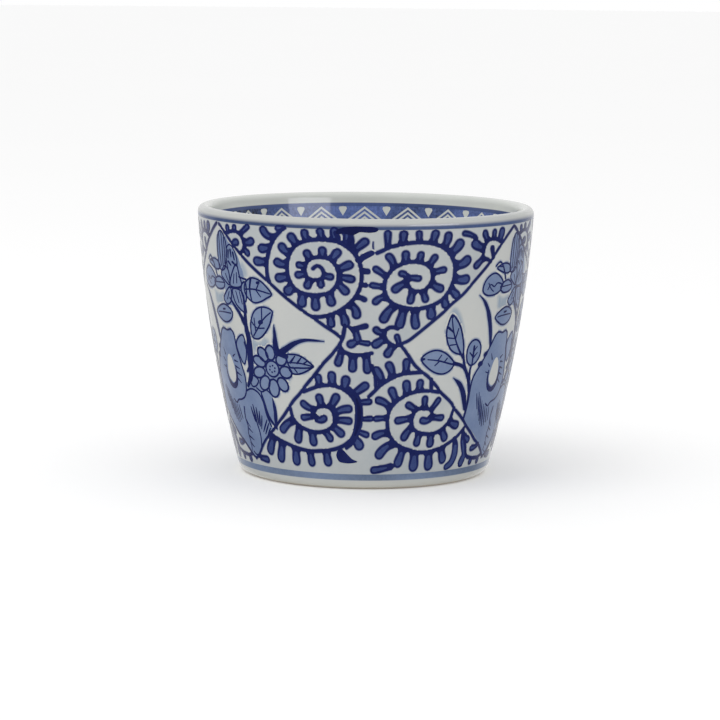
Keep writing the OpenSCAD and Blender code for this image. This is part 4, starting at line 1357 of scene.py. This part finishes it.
def floor_material(name, base, glow):
    material = bpy.data.materials.new(name)
    material.use_nodes = True
    tree = material.node_tree
    soft = stretch(tree, noise(tree, 4, 2), 0.3, 0.7)
    fill_in(tree, tree.nodes["Principled BSDF"], {
        "Roughness": 0.9, "Specular IOR Level": 0.0, "Emission Color": (1, 1, 1), "Emission Strength": glow,
        "Base Color": blend_colours(tree, soft, [base] * 3, [base * 0.995] * 3)})
    return material


def studio_sky(stage):
    """White to the camera, soft light from above, and little for the glaze to mirror."""
    world = bpy.data.worlds.new("Studio")
    world.use_nodes = True
    tree = world.node_tree
    tree.nodes.clear()
    height, depth = coordinate(tree, "Generated", "Z"), coordinate(tree, "Generated", "Y")
    soft = added(tree, "Background", {"Strength": stretch(tree, height, -0.1, 0.9, stage.horizon, stage.sky)})
    dim = added(tree, "Background", {"Strength": stretch(tree, depth, 0.45, 0.97, 0.12, 1.0)})
    white = added(tree, "Background", {"Color": (1, 1, 1)})
    rays = tree.nodes.new("ShaderNodeLightPath")
    mirrored = added(tree, "MixShader", {
        0: rays.outputs["Is Glossy Ray"], 1: soft.outputs[0], 2: dim.outputs[0]})
    seen = added(tree, "MixShader", {
        0: rays.outputs["Is Camera Ray"], 1: mirrored.outputs[0], 2: white.outputs[0]})
    added(tree, "OutputWorld", {"Surface": seen.outputs[0]})
    return world


def area_light(scene, name, width, height, power, place, aim_height):
    """A rectangular light at a place, turned to a height on the cup's axis."""
    light = bpy.data.lights.new(name, "AREA")
    light.shape = "RECTANGLE"
    light.size = width
    light.size_y = height
    light.energy = power
    lamp = bpy.data.objects.new(name, light)
    scene.collection.objects.link(lamp)
    lamp.location = place
    lamp.rotation_euler = (Vector((0, 0, aim_height)) - lamp.location).to_track_quat("-Z", "Y").to_euler()
    return lamp


def set_camera(scene, stage):
    """A long lens in front of the cup, a little above it, with its small turn, nod and roll."""
    rise = stage.camera_rise
    side = Vector((1, 0, 0))
    ahead = Vector((0, math.cos(rise), -math.sin(rise)))
    ahead += math.tan(stage.turn) * side + math.tan(stage.nod) * side.cross(ahead)
    ahead.normalize()
    right = ahead.cross(Vector((0, 0, 1))).normalized()
    up = right.cross(ahead)
    across = math.cos(stage.roll) * right + math.sin(stage.roll) * up
    upward = -math.sin(stage.roll) * right + math.cos(stage.roll) * up
    lens = bpy.data.cameras.new("camera")
    lens.sensor_width = 36
    lens.lens = stage.lens
    camera = bpy.data.objects.new("camera", lens)
    scene.collection.objects.link(camera)
    turned_to = Matrix((across, upward, -ahead)).transposed().to_4x4()
    turned_to.translation = (0, -stage.camera_distance * math.cos(rise),
                             stage.aim_height + stage.camera_distance * math.sin(rise))
    camera.matrix_world = turned_to
    scene.camera = camera


class CUP_OT_stage(bpy.types.Operator):
    """Set the floor, the light and the camera"""
    bl_idname = "cup.stage"
    bl_label = "Stage"

    def execute(self, context):
        scene = context.scene
        stage = scene.cup_stage
        bm = bmesh.new()
        bmesh.ops.create_circle(bm, cap_ends=True, segments=96, radius=6.0)
        mesh = bpy.data.meshes.new("floor")
        bm.to_mesh(mesh)
        bm.free()
        floor = bpy.data.objects.new("floor", mesh)
        mesh.materials.append(floor_material("Studio floor", 0.94, stage.glow))
        scene.collection.objects.link(floor)
        floor.visible_glossy = False
        scene.world = studio_sky(stage)

        softbox = area_light(scene, "softbox", 0.5, 0.5, stage.softbox, (-0.35, -0.25, 0.75), 0.04)
        softbox.visible_glossy = False
        window = area_light(scene, "window", 0.32, 0.16, stage.window, (0.36, -0.35, 0.115), 0.06)
        window.data.color = (0.9, 0.92, 1.0)
        window.visible_diffuse = False
        set_camera(scene, stage)
        scene.view_settings.view_transform = "Standard"
        return {"FINISHED"}


class CUP_PT_maker(bpy.types.Panel):
    """The cup's pieces, sizes and colours"""
    bl_idname = "CUP_PT_maker"
    bl_label = "Porcelain cup"
    bl_space_type = "VIEW_3D"
    bl_region_type = "UI"
    bl_category = "Cup"

    def draw(self, context):
        for maker in OPERATORS:
            self.layout.operator(maker.bl_idname)
        for label, name in (("Sizes", "cup_sizes"), ("Print", "print_sizes"), ("Colours", "cup_colours"),
                            ("Stage", "cup_stage")):
            box = self.layout.box()
            box.label(text=label)
            settings = getattr(context.scene, name)
            for key in type(settings).__annotations__:
                box.prop(settings, key)


GROUPS = {
    "cup_sizes": CupSizes, "print_sizes": PrintSizes, "cup_colours": CupColours, "cup_stage": StageSizes}
OPERATORS = (
    CUP_OT_clay, CUP_OT_glaze, CUP_OT_lines, CUP_OT_band, CUP_OT_scroll, CUP_OT_flowers, CUP_OT_stage)


def register():
    for made in (*GROUPS.values(), *OPERATORS, CUP_PT_maker):
        bpy.utils.register_class(made)
    for name, settings in GROUPS.items():
        setattr(bpy.types.Scene, name, bpy.props.PointerProperty(type=settings))


def unregister():
    for name in GROUPS:
        delattr(bpy.types.Scene, name)
    for made in (CUP_PT_maker, *OPERATORS, *GROUPS.values()):
        bpy.utils.unregister_class(made)


def main():
    register()
    for maker in OPERATORS:
        area, action = maker.bl_idname.split(".")
        getattr(getattr(bpy.ops, area), action)()


if __name__ == "__main__":
    main()
